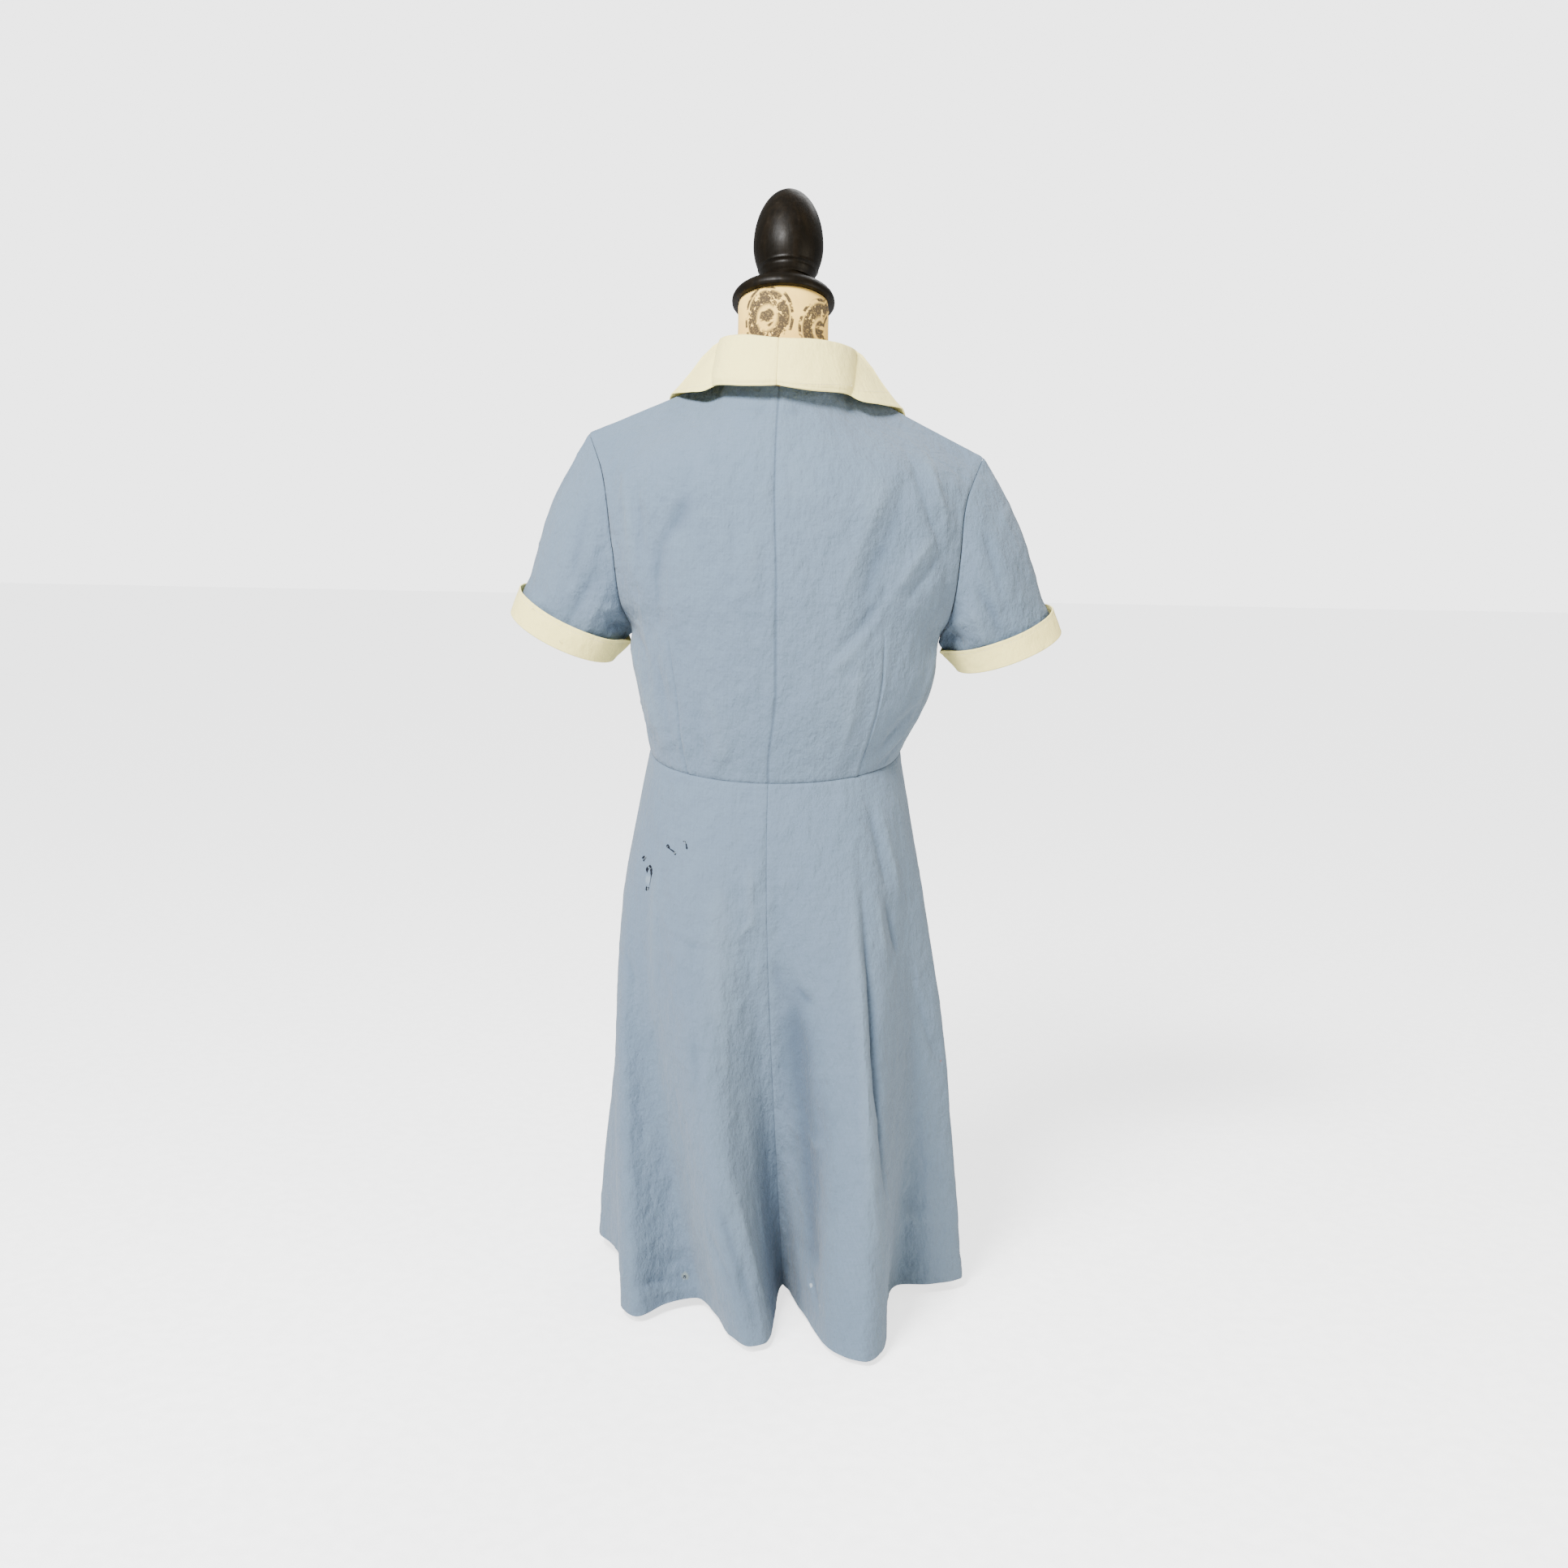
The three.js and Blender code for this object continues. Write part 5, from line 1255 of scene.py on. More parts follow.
def finish_piece(made, slot, *nodes, finish=None):
    """Gives a piece its finish, its place in the frame's body and the frame's nodes that it stands for."""
    made.data.materials.clear()
    made.data.materials.append(MATERIALS[finish or slot])
    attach(made, "root")
    if nodes:
        made.name = made.data.name = nodes[0] + "_finished"
        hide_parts(*nodes)
    return made


def finish_cloth(made, node, slot):
    """Finishes a piece of cloth."""
    finish_piece(made, slot, node)
    return made


# ---- places on the finished cloth ------------
def tree_of(piece):
    """The faces of a finished piece, ready to be searched."""
    if piece not in TREES:
        work = bmesh.new()
        work.from_mesh(bpy.data.objects[piece + "_finished"].data)
        TREES[piece] = BVHTree.FromBMesh(work)
        work.free()
    return TREES[piece]


TREES = {}


def cloth_at(piece, p, n, reach=9.0):
    """The place on a finished piece's outer face near points p in mm, and the face's normal there."""
    tree = tree_of(piece)
    found, normals = [], []
    for place, out in zip(p, n):
        start = Vector((place + out * reach) * MM)
        hit, normal, _index, _distance = tree.ray_cast(start, -Vector(out), 2.2 * reach * MM)
        if hit is None:
            hit, normal, _index, _distance = tree.find_nearest(start)
        found.append(np.array(hit) / MM)
        normals.append(np.array(normal))
    return np.array(found), np.array(normals)


def hung_normal(surface, a, t, flip=1):
    """Points of the hung surface and their normals, found from its own neighbours."""
    a, t = np.asarray(a, float), np.asarray(t, float)
    here = hang(surface(a, t))
    along = hang(surface(a + 0.05, t)) - here
    low = np.where(t > 0.5, t - 1e-3, t)
    up = hang(surface(a, low + 1e-3)) - hang(surface(a, low))
    return here, flip * unit(np.cross(up, along))


# ---- sewing ----------------------------------
def stitch_tree():
    """Geometry Nodes: even stitches along every edge of a path, each turned with it and a little uneven."""
    tree = bpy.data.node_groups.new("Stitches along a path", "GeometryNodeTree")
    face = tree.interface
    face.new_socket("Geometry", in_out="OUTPUT", socket_type="NodeSocketGeometry")
    face.new_socket("Geometry", in_out="INPUT", socket_type="NodeSocketGeometry")
    for name, default in (("Stitch", 0.0022), ("Gap", 0.0009), ("Thread", 0.0003), ("Unevenness", 0.12)):
        face.new_socket(name, in_out="INPUT", socket_type="NodeSocketFloat").default_value = default
    face.new_socket("Seed", in_out="INPUT", socket_type="NodeSocketInt").default_value = 4
    face.new_socket("Thread finish", in_out="INPUT", socket_type="NodeSocketMaterial")

    add = lambda kind, inputs=(), **facts: add_node(tree, kind, inputs, **facts)
    worked_out = lambda a, b, way: add("ShaderNodeMath", {0: a, 1: b}, operation=way).outputs[0]
    place = lambda **to: add("ShaderNodeCombineXYZ", to).outputs["Vector"]
    given = add("NodeGroupInput").outputs
    pitch = worked_out(given["Stitch"], given["Gap"], "ADD")
    curve = add("GeometryNodeMeshToCurve", {"Mesh": given["Geometry"]}).outputs["Curve"]
    even = add("GeometryNodeResampleCurve", {"Curve": curve, "Length": pitch}, mode="LENGTH").outputs["Curve"]
    start = place(X=worked_out(given["Stitch"], -0.5, "MULTIPLY"))
    end = place(X=worked_out(given["Stitch"], 0.5, "MULTIPLY"))
    middle = place(Z=worked_out(given["Thread"], 1.6, "MULTIPLY"))
    bow = {"Resolution": 4, "Start": start, "Middle": middle, "End": end}
    arch = add("GeometryNodeCurveQuadraticBezier", bow)
    round_ = add("GeometryNodeCurvePrimitiveCircle", {"Resolution": 6, "Radius": given["Thread"]})
    tube = add(
        "GeometryNodeCurveToMesh",
        {"Curve": arch.outputs["Curve"], "Profile Curve": round_.outputs["Curve"], "Fill Caps": True},
    ).outputs["Mesh"]
    tangent = add("GeometryNodeInputTangent").outputs["Tangent"]
    turned = add("FunctionNodeAlignRotationToVector", {"Vector": tangent}, axis="X").outputs["Rotation"]
    outward = add("GeometryNodeInputNamedAttribute", {"Name": "out"}, data_type="FLOAT_VECTOR")
    out = outward.outputs["Attribute"]
    facing = add(
        "FunctionNodeAlignRotationToVector", {"Rotation": turned, "Vector": out}, axis="Z", pivot_axis="X"
    ).outputs["Rotation"]
    least = worked_out(1.0, given["Unevenness"], "SUBTRACT")
    most = worked_out(1.0, given["Unevenness"], "ADD")
    size = add("FunctionNodeRandomValue", data_type="FLOAT")
    for socket in size.inputs:
        if socket.type == "VALUE" and socket.name == "Min":
            tree.links.new(least, socket)
        if socket.type == "VALUE" and socket.name == "Max":
            tree.links.new(most, socket)
        if socket.name == "Seed":
            tree.links.new(given["Seed"], socket)
    random_size = next(o for o in size.outputs if o.type == "VALUE" and o.enabled)
    placed = add(
        "GeometryNodeInstanceOnPoints",
        {"Points": even, "Instance": tube, "Rotation": facing, "Scale": random_size},
    ).outputs["Instances"]
    real = add("GeometryNodeRealizeInstances", {"Geometry": placed}).outputs["Geometry"]
    finished = add("GeometryNodeSetMaterial", {"Geometry": real, "Material": given["Thread finish"]})
    done = finished.outputs["Geometry"]
    add("NodeGroupOutput", {"Geometry": done})
    return tree


def stitched(name, paths, slot, thread, stitch=2.2, gap=0.9, thick=0.3, seed=4):
    """One plain mesh of stitches along paths; each path is points in mm and the normals of its cloth."""
    mesh = bpy.data.meshes.new(name + "_path")
    points = np.concatenate([p + n * 0.12 for p, n in paths]) * MM
    normals = np.concatenate([n for _p, n in paths])
    edges, first = [], 0
    for p, _n in paths:
        edges += [(first + k, first + k + 1) for k in range(len(p) - 1)]
        first += len(p)
    mesh.from_pydata(points.tolist(), edges, [])
    outward = mesh.attributes.new("out", "FLOAT_VECTOR", "POINT")
    outward.data.foreach_set("vector", normals.astype(np.float32).ravel())
    path = put(name + "_path", mesh)
    tree = bpy.data.node_groups.get("Stitches along a path") or stitch_tree()
    modifier = path.modifiers.new("Stitches", "NODES")
    modifier.node_group = tree
    sockets = {s.name: s.identifier for s in tree.interface.items_tree if s.in_out == "INPUT"}
    values = {"Stitch": stitch * MM, "Gap": gap * MM, "Thread": thick * MM / 2, "Seed": seed}
    for key, value in values.items():
        modifier[sockets[key]] = value
    modifier[sockets["Thread finish"]] = MATERIALS[thread]
    path.update_tag()
    depsgraph = bpy.context.evaluated_depsgraph_get()
    plain_mesh = bpy.data.meshes.new_from_object(path.evaluated_get(depsgraph))
    bpy.data.objects.remove(path)
    made = put(name, plain_mesh)
    plain_mesh.shade_smooth()
    return finish_piece(made, slot, finish=thread)


def collar_stitching(side):
    """Edge stitching 5 mm inside the collar's free edges."""
    name = sided("collar", side)
    edge = np.linspace(0.03, 0.965, 90)
    q = np.concatenate([edge, np.full(10, 0.965)])
    k = np.concatenate([np.full(90, 1.915), np.linspace(1.9, 1.2, 10)])
    p, n = hung_normal(collar, q, k)
    p, n = mirrored(p, side), mirrored(n, side)
    upwards = np.sign(np.sum(n * (p - (0, NECK_AXIS, 900)), axis=-1, keepdims=True))
    return cloth_at(name, p, n * upwards)


def cuff_face(f, height, side=1):
    """Points and normals of a cuff's outer face, height mm above its fold."""
    p = sleeve(f, 1.0)
    axis = unit(p - sleeve(f, 0.9))
    turn = sleeve(f + 0.002, 1.0) - sleeve(f - 0.002, 1.0)
    n = unit(np.cross(axis, turn))
    n = n * np.sign(np.sum((p - sleeve(np.linspace(0, 1, 60), 1.0).mean(0)) * n, -1, keepdims=True))
    p = p - axis * height[:, None] + n * (CUFF["reach"] + CUFF["flare"] * height[:, None] / CUFF["depth"])
    return hang(mirrored(p, side)), mirrored(n, side)


# How far inside a cuff's standing edge its stitches run in mm.
CUFF_STITCH = 4.0


def cuff_stitching(side):
    """A row of stitches near the standing edge of a cuff."""
    height = np.full(120, CUFF["depth"] - CUFF_STITCH)
    return cloth_at(sided("cuff", side), *cuff_face(np.linspace(0.003, 0.997, 120), height, side))


def hem_stitching(name, low, high):
    """Small, wide-apart stitches that just show along the top of a skirt panel's hem."""
    a = np.linspace(low + 1.5, high - 1.5, 260)
    p, n = hung_normal(skirt, a, np.full_like(a, 1 - HEM_STITCH / SKIRT_LENGTH), -1)
    return cloth_at(name, p, n)


def placket_stitching():
    """Two rows of stitches down the right front's lap, either side of its buttons."""
    rows = []
    t = np.linspace(0.01, V_LEVEL - 0.03, 80)
    for x in (2.5 - OVERLAP, OVERLAP):
        a = np.array([-180 + math.copysign(angle_at(abs(x), level), x) for level in t])
        rows.append(cloth_at("front_bodice_right", *hung_normal(body, a, t)))
    return rows


def buttonhole(index):
    """A close ring of stitches round one buttonhole, level across the lap."""
    p, n = button_seat(index)
    turn = np.linspace(0, 2 * math.pi, 60)
    along, up = axes_across(n)
    ring = p + along * (8.6 * np.cos(turn))[:, None] + up * (1.1 * np.sin(turn))[:, None]
    return cloth_at("front_bodice_right", ring, np.repeat(n[None], 60, axis=0))


# ---- buttons ---------------------------------
BUTTONS = {"count": 4, "r": 6.5, "thick": 2.6, "low": 0.06, "high": 0.56}


def button_seat(index):
    """Where a button's back lies, in mm, and which way it faces."""
    t = mix(BUTTONS["high"], BUTTONS["low"], index / (BUTTONS["count"] - 1))
    n = surface_normal(body, np.array(-180.0), np.array(t), -190.0, -170.0)
    return hang(body(180.0, t) + n * (OVERLAP_LIFT["over"] + GAP)), n


def axes_across(n):
    """Two directions across an axis, the first of them level."""
    along = unit(np.cross((0, 0, 1), n)) if n[0] or n[1] else np.array([1.0, 0, 0])
    return along, np.cross(n, along)


def turned(name, outline, segments, axis=(0, 0, 1), base=(0, 0, 0), smooth_angle=35):
    """A closed turned piece from (radius, height) places that start and end on its axis, in mm."""
    outline = np.asarray(outline, float)
    outline[:, 0] = np.maximum(outline[:, 0], 0)
    turn = np.arange(segments) / segments * 2 * math.pi
    inner = outline[1:-1]
    ring = np.stack(
        [
            inner[:, 0, None] * np.cos(turn),
            inner[:, 0, None] * np.sin(turn),
            np.broadcast_to(inner[:, 1, None], (len(inner), segments)),
        ],
        -1,
    )
    points = np.concatenate([ring.reshape(-1, 3), [[0, 0, outline[0, 1]], [0, 0, outline[-1, 1]]]])
    at = lambda j, i: j * segments + i % segments
    quads = grid_quads(at, len(inner) - 1, segments)
    i = np.arange(segments)
    foot, head = len(points) - 2, len(points) - 1
    top = len(inner) - 1
    caps = [np.stack([at(0, i + 1), at(0, i), np.full_like(i, foot)], -1)]
    caps.append(np.stack([at(top, i), at(top, i + 1), np.full_like(i, head)], -1))
    triangles = np.concatenate([quads[:, [0, 1, 2]], quads[:, [0, 2, 3]], *caps])
    axis = unit(np.array(axis, float))
    frame_axes = np.stack([*axes_across(axis), axis])
    return mesh_object(name, points @ frame_axes + np.array(base), triangles, smooth_angle=smooth_angle)


def button_piece(index):
    """A four-hole button with a raised rim, its dark holes and a cross of thread."""
    p, n = button_seat(index)
    r, thick = BUTTONS["r"], BUTTONS["thick"]
    outline = [(0, 0), (r - 0.6, 0), (r - 0.15, 0.3), (r, 0.9), (r, thick - 0.9), (r - 0.3, thick - 0.25)]
    outline += [(r - 0.9, thick), (r - 1.5, thick - 0.15), (r - 2.1, thick - 0.65)]
    outline += [(r - 2.7, thick - 0.85), (0, thick - 0.8)]
    made = turned(f"button_{index + 1}", outline, 48, n, p)
    along, up = axes_across(n)
    drill_holes(made, p, n, along, up)
    finish_piece(made, "buttons", f"button_{index + 1}")
    holes = [(x * HOLES["off"], y * HOLES["off"]) for x in (-1, 1) for y in (-1, 1)]
    pairs = ((holes[0], holes[3]), (holes[1], holes[2]))
    paths = []
    for (x0, y0), (x1, y1) in pairs:
        share = np.linspace(0, 1, 9)[:, None]
        flat = (along * x0 + up * y0) * (1 - share) + (along * x1 + up * y1) * share
        rise = thick - 0.75 + 0.55 * np.sin(math.pi * share)
        paths.append((p + flat + n * rise, np.repeat(n[None], 9, axis=0)))
    tubes(f"button_{index + 1}_thread", paths, 0.33, "buttons", "cream_thread")


# A button's four holes: their radius and how far they lie off its middle each way, in mm.
HOLES = {"r": 0.62, "off": 1.35}


def drill_holes(made, p, n, along, up):
    """Cuts a button's four holes."""
    section = [(0, -1), (HOLES["r"], -1), (HOLES["r"], 4), (0, 4)]
    across = (-HOLES["off"], HOLES["off"])
    cutters = [turned("cut", section, 12, n, p + along * x + up * y) for x in across for y in across]
    for cutter in cutters:
        modifier = made.modifiers.new("Hole", "BOOLEAN")
        modifier.operation = "DIFFERENCE"
        modifier.object = cutter
    mesh = bpy.data.meshes.new_from_object(made.evaluated_get(bpy.context.evaluated_depsgraph_get()))
    made.modifiers.clear()
    made.data = mesh
    for cutter in cutters:
        bpy.data.objects.remove(cutter)


def tubes(name, paths, radius, slot, finish):
    """Round threads along paths of points in mm and normals, as one mesh with closed ends."""
    points, faces = [], []
    sides = 6
    for p, n in paths:
        along = unit(np.gradient(p, axis=0))
        across = unit(np.cross(along, n))
        up = np.cross(across, along)
        turn = np.arange(sides) / sides * 2 * math.pi
        taper = np.where((np.arange(len(p)) == 0) | (np.arange(len(p)) == len(p) - 1), 0.3, 1.0)
        r = radius * taper[:, None, None]
        cosine, sine = np.cos(turn)[:, None], np.sin(turn)[:, None]
        ring = p[:, None] + r * (across[:, None] * cosine + up[:, None] * sine)
        first = len(points)
        points += ring.reshape(-1, 3).tolist()
        edge = lambda j, i: (first + j * sides + i, first + j * sides + (i + 1) % sides)
        for j in range(len(p) - 1):
            for i in range(sides):
                a, b = edge(j, i)
                faces += [(a, b, b + sides), (a, b + sides, a + sides)]
        for j, flip in ((0, True), (len(p) - 1, False)):
            centre = len(points)
            points.append(p[j].tolist())
            for i in range(sides):
                a, b = edge(j, i)
                faces.append((b, a, centre) if flip else (a, b, centre))
    return finish_piece(mesh_object(name, points, faces), slot, finish=finish)


# ---- wear ------------------------------------
SCUFFED = "skirt_back_left"
# Narrow tears in the skirt's back left: places along each as angle, level and width in mm.
TEARS = (
    ((62.5, 0.176, 1.2), (60.6, 0.172, 2.0), (59.0, 0.172, 1.4), (60.2, 0.176, 1.2), (60.7, 0.18, 2.2)),
    ((56.5, 0.197, 2.2), (56.7, 0.191, 2.6), (56.0, 0.185, 1.8), (54.5, 0.182, 1.8), (53.4, 0.187, 3.0),
     (52.9, 0.193, 2.4), (52.7, 0.2, 1.0), (53.0, 0.208, 0.5), (53.3, 0.217, 0.4)),
    ((55.8, 0.221, 1.0), (55.3, 0.2255, 2.6), (54.4, 0.2245, 2.2), (53.5, 0.219, 0.9)),
    ((44.2, 0.1335, 2.6), (43.2, 0.1345, 2.8), (41.8, 0.138, 0.8), (39.5, 0.14, 0.9), (38.4, 0.1425, 1.9),
     (37.9, 0.1455, 2.0)),
    ((34.4, 0.1178, 1.1), (33.2, 0.118, 0.8), (32.4, 0.123, 1.0), (31.9, 0.131, 1.7)),
    ((56.9, 0.956, 2.0), (57.4, 0.959, 2.4), (57.1, 0.9615, 1.2)),
)
# A tear's half width is its width times this, and never over the most.
HALF_AND_SPREAD = 0.68
TEAR_HALF_WIDTH = 1.9
# Loose ends of thread on the left cuff: share round it and height above its fold in mm.
LOOSE_ENDS = ((0.143, 20.0, 0.6), (0.255, 7.0, -0.5))


def blue_spots():
    """Stains and rubbed spots: a place in metres, a radius, a colour and a strength."""
    return (
        ((-0.183, 0.039, 0.259), 0.0022, (0.2, 0.06, 0.04), 0.7),
        ((0.084, 0.090, 0.036), 0.0050, (0.29, 0.33, 0.26), 0.55),
        ((-0.157, 0.054, 0.208), 0.009, (0.13, 0.185, 0.25), 0.45),
        ((-0.047, 0.134, 0.049), 0.0028, (0.45, 0.5, 0.54), 0.7),
        ((-0.055, 0.159, 0.039), 0.0024, (0.45, 0.5, 0.54), 0.7),
        ((0.127, 0.072, 0.456), 0.006, (0.25, 0.32, 0.385), 0.45),
    )


def tear_shape(index):
    """One tear's middle line on the cloth, its normals and its ragged half width along it."""
    a, v, width = np.array(TEARS[index]).T
    at = np.linspace(0, 1, 26)
    keys = np.linspace(0, 1, len(a))
    ragged = np.random.default_rng(300 + index).uniform(0.7, 1.2, 26)
    p, n = hung_normal(skirt, np.interp(at, keys, a), np.interp(at, keys, v), -1)
    p, n = cloth_at(SCUFFED, p, n)
    half = np.minimum(np.interp(at, keys, width) * HALF_AND_SPREAD * ragged, TEAR_HALF_WIDTH)
    half = half * np.clip(np.minimum(at, 1 - at) * 12, 0.15, 1)
    return p, n, half


def tear_shade_leaves():
    """Painted shade for each tear: a thin dark leaf lying on the cloth in place of the shadowed inside seen
    through it.
    """
    points, faces = [], []
    for index in range(len(TEARS)):
        p, n, half = tear_shape(index)
        along = unit(np.gradient(p, axis=0))
        across = unit(np.cross(n, along))
        first = len(points)
        for lift, wide in ((0.3, 1.0), (-0.2, 1.05)):
            for way in (-1, 1):
                points += (p + n * lift + across * (way * half * wide)[:, None]).tolist()
        count = len(p)
        corner = lambda row, j: first + row * count + j
        for j in range(count - 1):
            for r0, r1 in ((0, 1), (1, 3), (3, 2), (2, 0)):
                faces.append((corner(r0, j), corner(r1, j), corner(r1, j + 1), corner(r0, j + 1)))
        faces.append((corner(0, 0), corner(2, 0), corner(3, 0), corner(1, 0)))
        end = count - 1
        faces.append((corner(0, end), corner(1, end), corner(3, end), corner(2, end)))
    finish_piece(mesh_object("tears", points, faces, smooth_angle=60), "blue_cotton", finish="dark_gap")


def frayed_threads():
    """Loose pale threads that cross the tears."""
    rng = np.random.default_rng(17)
    paths = []
    for index in range(len(TEARS)):
        p, n, half = tear_shape(index)
        along = unit(np.gradient(p, axis=0))
        across = unit(np.cross(n, along))
        for _ in range(4):
            j = int(rng.integers(1, len(p) - 2))
            reach = half[j] + rng.uniform(0.4, 1.6)
            share = np.linspace(-1, rng.uniform(0.1, 0.9), 6)[:, None]
            lean = along[j] * rng.uniform(-0.6, 0.6)
            way = rng.choice((-1, 1))
            line = p[j] + (across[j] * way + lean) * reach * share
            line = line + n[j] * (0.25 + 0.5 * rng.random() * (1 - share**2))
            paths.append((line, np.repeat(n[j][None], 6, axis=0)))
    tubes("frayed_threads", paths, 0.12, "blue_cotton", "pale_thread")


def loose_ends():
    """Two short ends of thread that lie on the left cuff."""
    paths = []
    for place, height, bend in LOOSE_ENDS:
        p, n = cuff_face(place + np.linspace(-0.006, 0.006, 9), height + np.zeros(9))
        share = np.linspace(-1, 1, 9)[:, None]
        axis = unit(p[-1] - p[0])
        side = np.cross(n[4], axis)
        line = p + side * (bend * 2.2 * (1 - share**2) + share * bend) + n * (0.3 + 0.5 * (1 - share**2))
        paths.append((line, n))
    tubes("cuff_loose_ends", paths, 0.17, "cream_cotton", "loose_thread")


# ---- form and stand --------------------------
def softened(node, slot, bevel=0.0, smooth=0):
    """A copy of a CAD node with merged corners and rounded edges, or subdivided into a smooth form."""
    source = next(o for o in bpy.data.objects if o.type == "MESH" and o.name.split(".")[0] == node)
    mesh = source.data.copy()
    mesh.transform(source.matrix_world)
    work = bmesh.new()
    work.from_mesh(mesh)
    bmesh.ops.remove_doubles(work, verts=work.verts, dist=2e-5)
    bmesh.ops.recalc_face_normals(work, faces=work.faces)
    if smooth:
        bmesh.ops.join_triangles(
            work, faces=work.faces, angle_face_threshold=0.5, angle_shape_threshold=0.9
        )
        crease = work.edges.layers.float.new("crease_edge")
        for edge in work.edges:
            if len(edge.link_faces) == 2 and edge.calc_face_angle(0) > math.radians(48):
                edge[crease] = 0.8
    else:
        bmesh.ops.dissolve_limit(work, angle_limit=math.radians(1.5), verts=work.verts, edges=work.edges)
    work.to_mesh(mesh)
    work.free()
    mesh.materials.clear()
    for layer in list(mesh.uv_layers):
        mesh.uv_layers.remove(layer)
    made = put(node + "_finished", mesh)
    if smooth:
        modifier = made.modifiers.new("Smooth form", "SUBSURF")
        modifier.levels = modifier.render_levels = smooth
    if bevel:
        modifier = made.modifiers.new("Rounded edges", "BEVEL")
        modifier.width, modifier.segments = bevel, 3
        modifier.limit_method, modifier.angle_limit = "ANGLE", math.radians(35)
        modifier.harden_normals = True
    mesh.shade_smooth()
    return finish_piece(made, slot, node)


NECK_TOP = (0, NECK_AXIS, 1040.4)
NECK_LEAN = math.atan(0.32)
CAP_SECTION = (
    (0, -1), (49.6, -1), (51.2, -0.4), (52.1, 1.0), (52.4, 3.4), (52.0, 6.0), (50.8, 8.6), (48.8, 11.0),
    (46.0, 13.2), (42.6, 15.2), (38.8, 17.1), (35.2, 19.0), (32.2, 21.0), (29.8, 23.0), (28.2, 24.6),
    (27.2, 25.6), (26.6, 26.0), (0, 26.0),
)
FINIAL = {"x": -4, "base": 26.3, "foot": 25.5, "r": 36, "height": 100, "widest": 0.38}


def turned_on_neck():
    """The cap that closes the form's neck and the egg-shaped finial on it, leaning with the neck."""
    lean = Matrix.Rotation(NECK_LEAN, 3, "X")
    axis = np.array(lean @ Vector((0, 0, 1)))
    cap = turned("neck_cap_turned", CAP_SECTION, 128, axis, NECK_TOP)
    finish_piece(cap, "black_wood", "neck_cap")
    egg = [(0, 0), (FINIAL["foot"] - 1.2, 0), (FINIAL["foot"] - 0.3, 0.5), (FINIAL["foot"], 1.5)]
    widest, height = FINIAL["widest"], FINIAL["height"]
    for share in np.linspace(0.03, widest, 40):
        level = share * height
        bead = 0.7 * math.exp(-(((level - 12) / 1.1) ** 2)) - 0.8 * math.exp(-(((level - 9.5) / 1.3) ** 2))
        r = mix(FINIAL["foot"], FINIAL["r"], math.sin(math.pi / 2 * share / widest)) + bead
        egg.append((r, level))
    for turn in np.linspace(3, 90, 34) * math.pi / 180:
        egg.append((FINIAL["r"] * math.cos(turn), mix(widest, 1, math.sin(turn)) * height))
    base = np.array(lean @ Vector((FINIAL["x"], 0, FINIAL["base"]))) + NECK_TOP
    finish_piece(turned("finial_turned", egg, 128, axis, base), "black_wood", "finial")


def upright(node, bevel):
    """A turned upright of the stand, as large as its CAD node."""
    low, high = (np.array(corner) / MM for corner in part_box(node))
    r, middle = (high[0] - low[0]) / 2, (low + high) / 2
    height = high[2] - low[2]
    places = [(0, 0)]
    for turn in np.linspace(0, math.pi / 2, 5):
        places.append((r - bevel * (1 - math.sin(turn)), bevel * (1 - math.cos(turn))))
    for turn in np.linspace(math.pi / 2, 0, 5):
        places.append((r - bevel * (1 - math.sin(turn)), height - bevel * (1 - math.cos(turn))))
    places.append((0, height))
    made = turned(node + "_turned", places, 64, (0, 0, 1), (middle[0], middle[1], low[2]))
    return finish_piece(made, "black_wood", node)


# ---- stage -----------------------------------
# Half the width of the floor in metres.
FLOOR_REACH = 30
# Lens and sensor in mm, clip and place in metres, down and roll in degrees.
CAMERA = {
    "lens": 37.06,
    "sensor": 36,
    "clip": (0.05, 50),
    "down": 8,
    "roll": 1.1,
    "place": (-0.010, 1.700, 0.787),
}
# Even lights: the way they come from, share of the key light, softness in degrees.
SUNS = (
    ("key sun", (1.6, 1.7, 1.9), 1, 12),
    ("front sun", (-0.9, -2.0, 2.0), 0.5, 35),
)
# Lamps: place, what they are turned to and width in metres, share of the lamp's power, tint.
LAMPS = (
    ("key lamp", (0.7, 1.5, 2.2), (0, 0, 0.95), 0.6, 1, (1, 1, 1)),
    ("warm fill", (-2.2, 1.3, 0.9), (0, 0, 0.6), 1.2, 0.27, (1, 0.9, 0.7)),
)


def put_light(light, place, aim):
    """Sets a light at a place, turned to what it lights."""
    made = put(light.name, light)
    made.location = place
    made.rotation_mode = "QUATERNION"
    made.rotation_quaternion = (Vector(aim) - Vector(place)).to_track_quat("-Z", "Y")


def area_light(name, place, aim, size, power, colour=(1, 1, 1)):
    """A round soft lamp."""
    light = bpy.data.lights.new(name, "AREA")
    light.shape, light.size, light.energy, light.color = "DISK", size, power, colour
    put_light(light, place, aim)


def sun_light(name, place, strength, softness):
    """Even light from the way of a place, softness in degrees."""
    light = bpy.data.lights.new(name, "SUN")
    light.energy, light.angle = strength, math.radians(softness)
    put_light(light, place, (0, 0, 0))


def lift_floor(finish, glow):
    """Brightens the floor as it is seen, and not the light that it throws on the dress."""
    tree = finish.node_tree
    shader = tree.nodes["Principled BSDF"]
    ray = add_node(tree, "ShaderNodeLightPath").outputs["Is Camera Ray"]
    gain = add_node(tree, "ShaderNodeMath", {0: ray, 1: glow}, operation="MULTIPLY")
    tree.links.new(gain.outputs["Value"], shader.inputs["Emission Strength"])
    shader.inputs["Emission Color"].default_value = (1, 1, 1, 1)


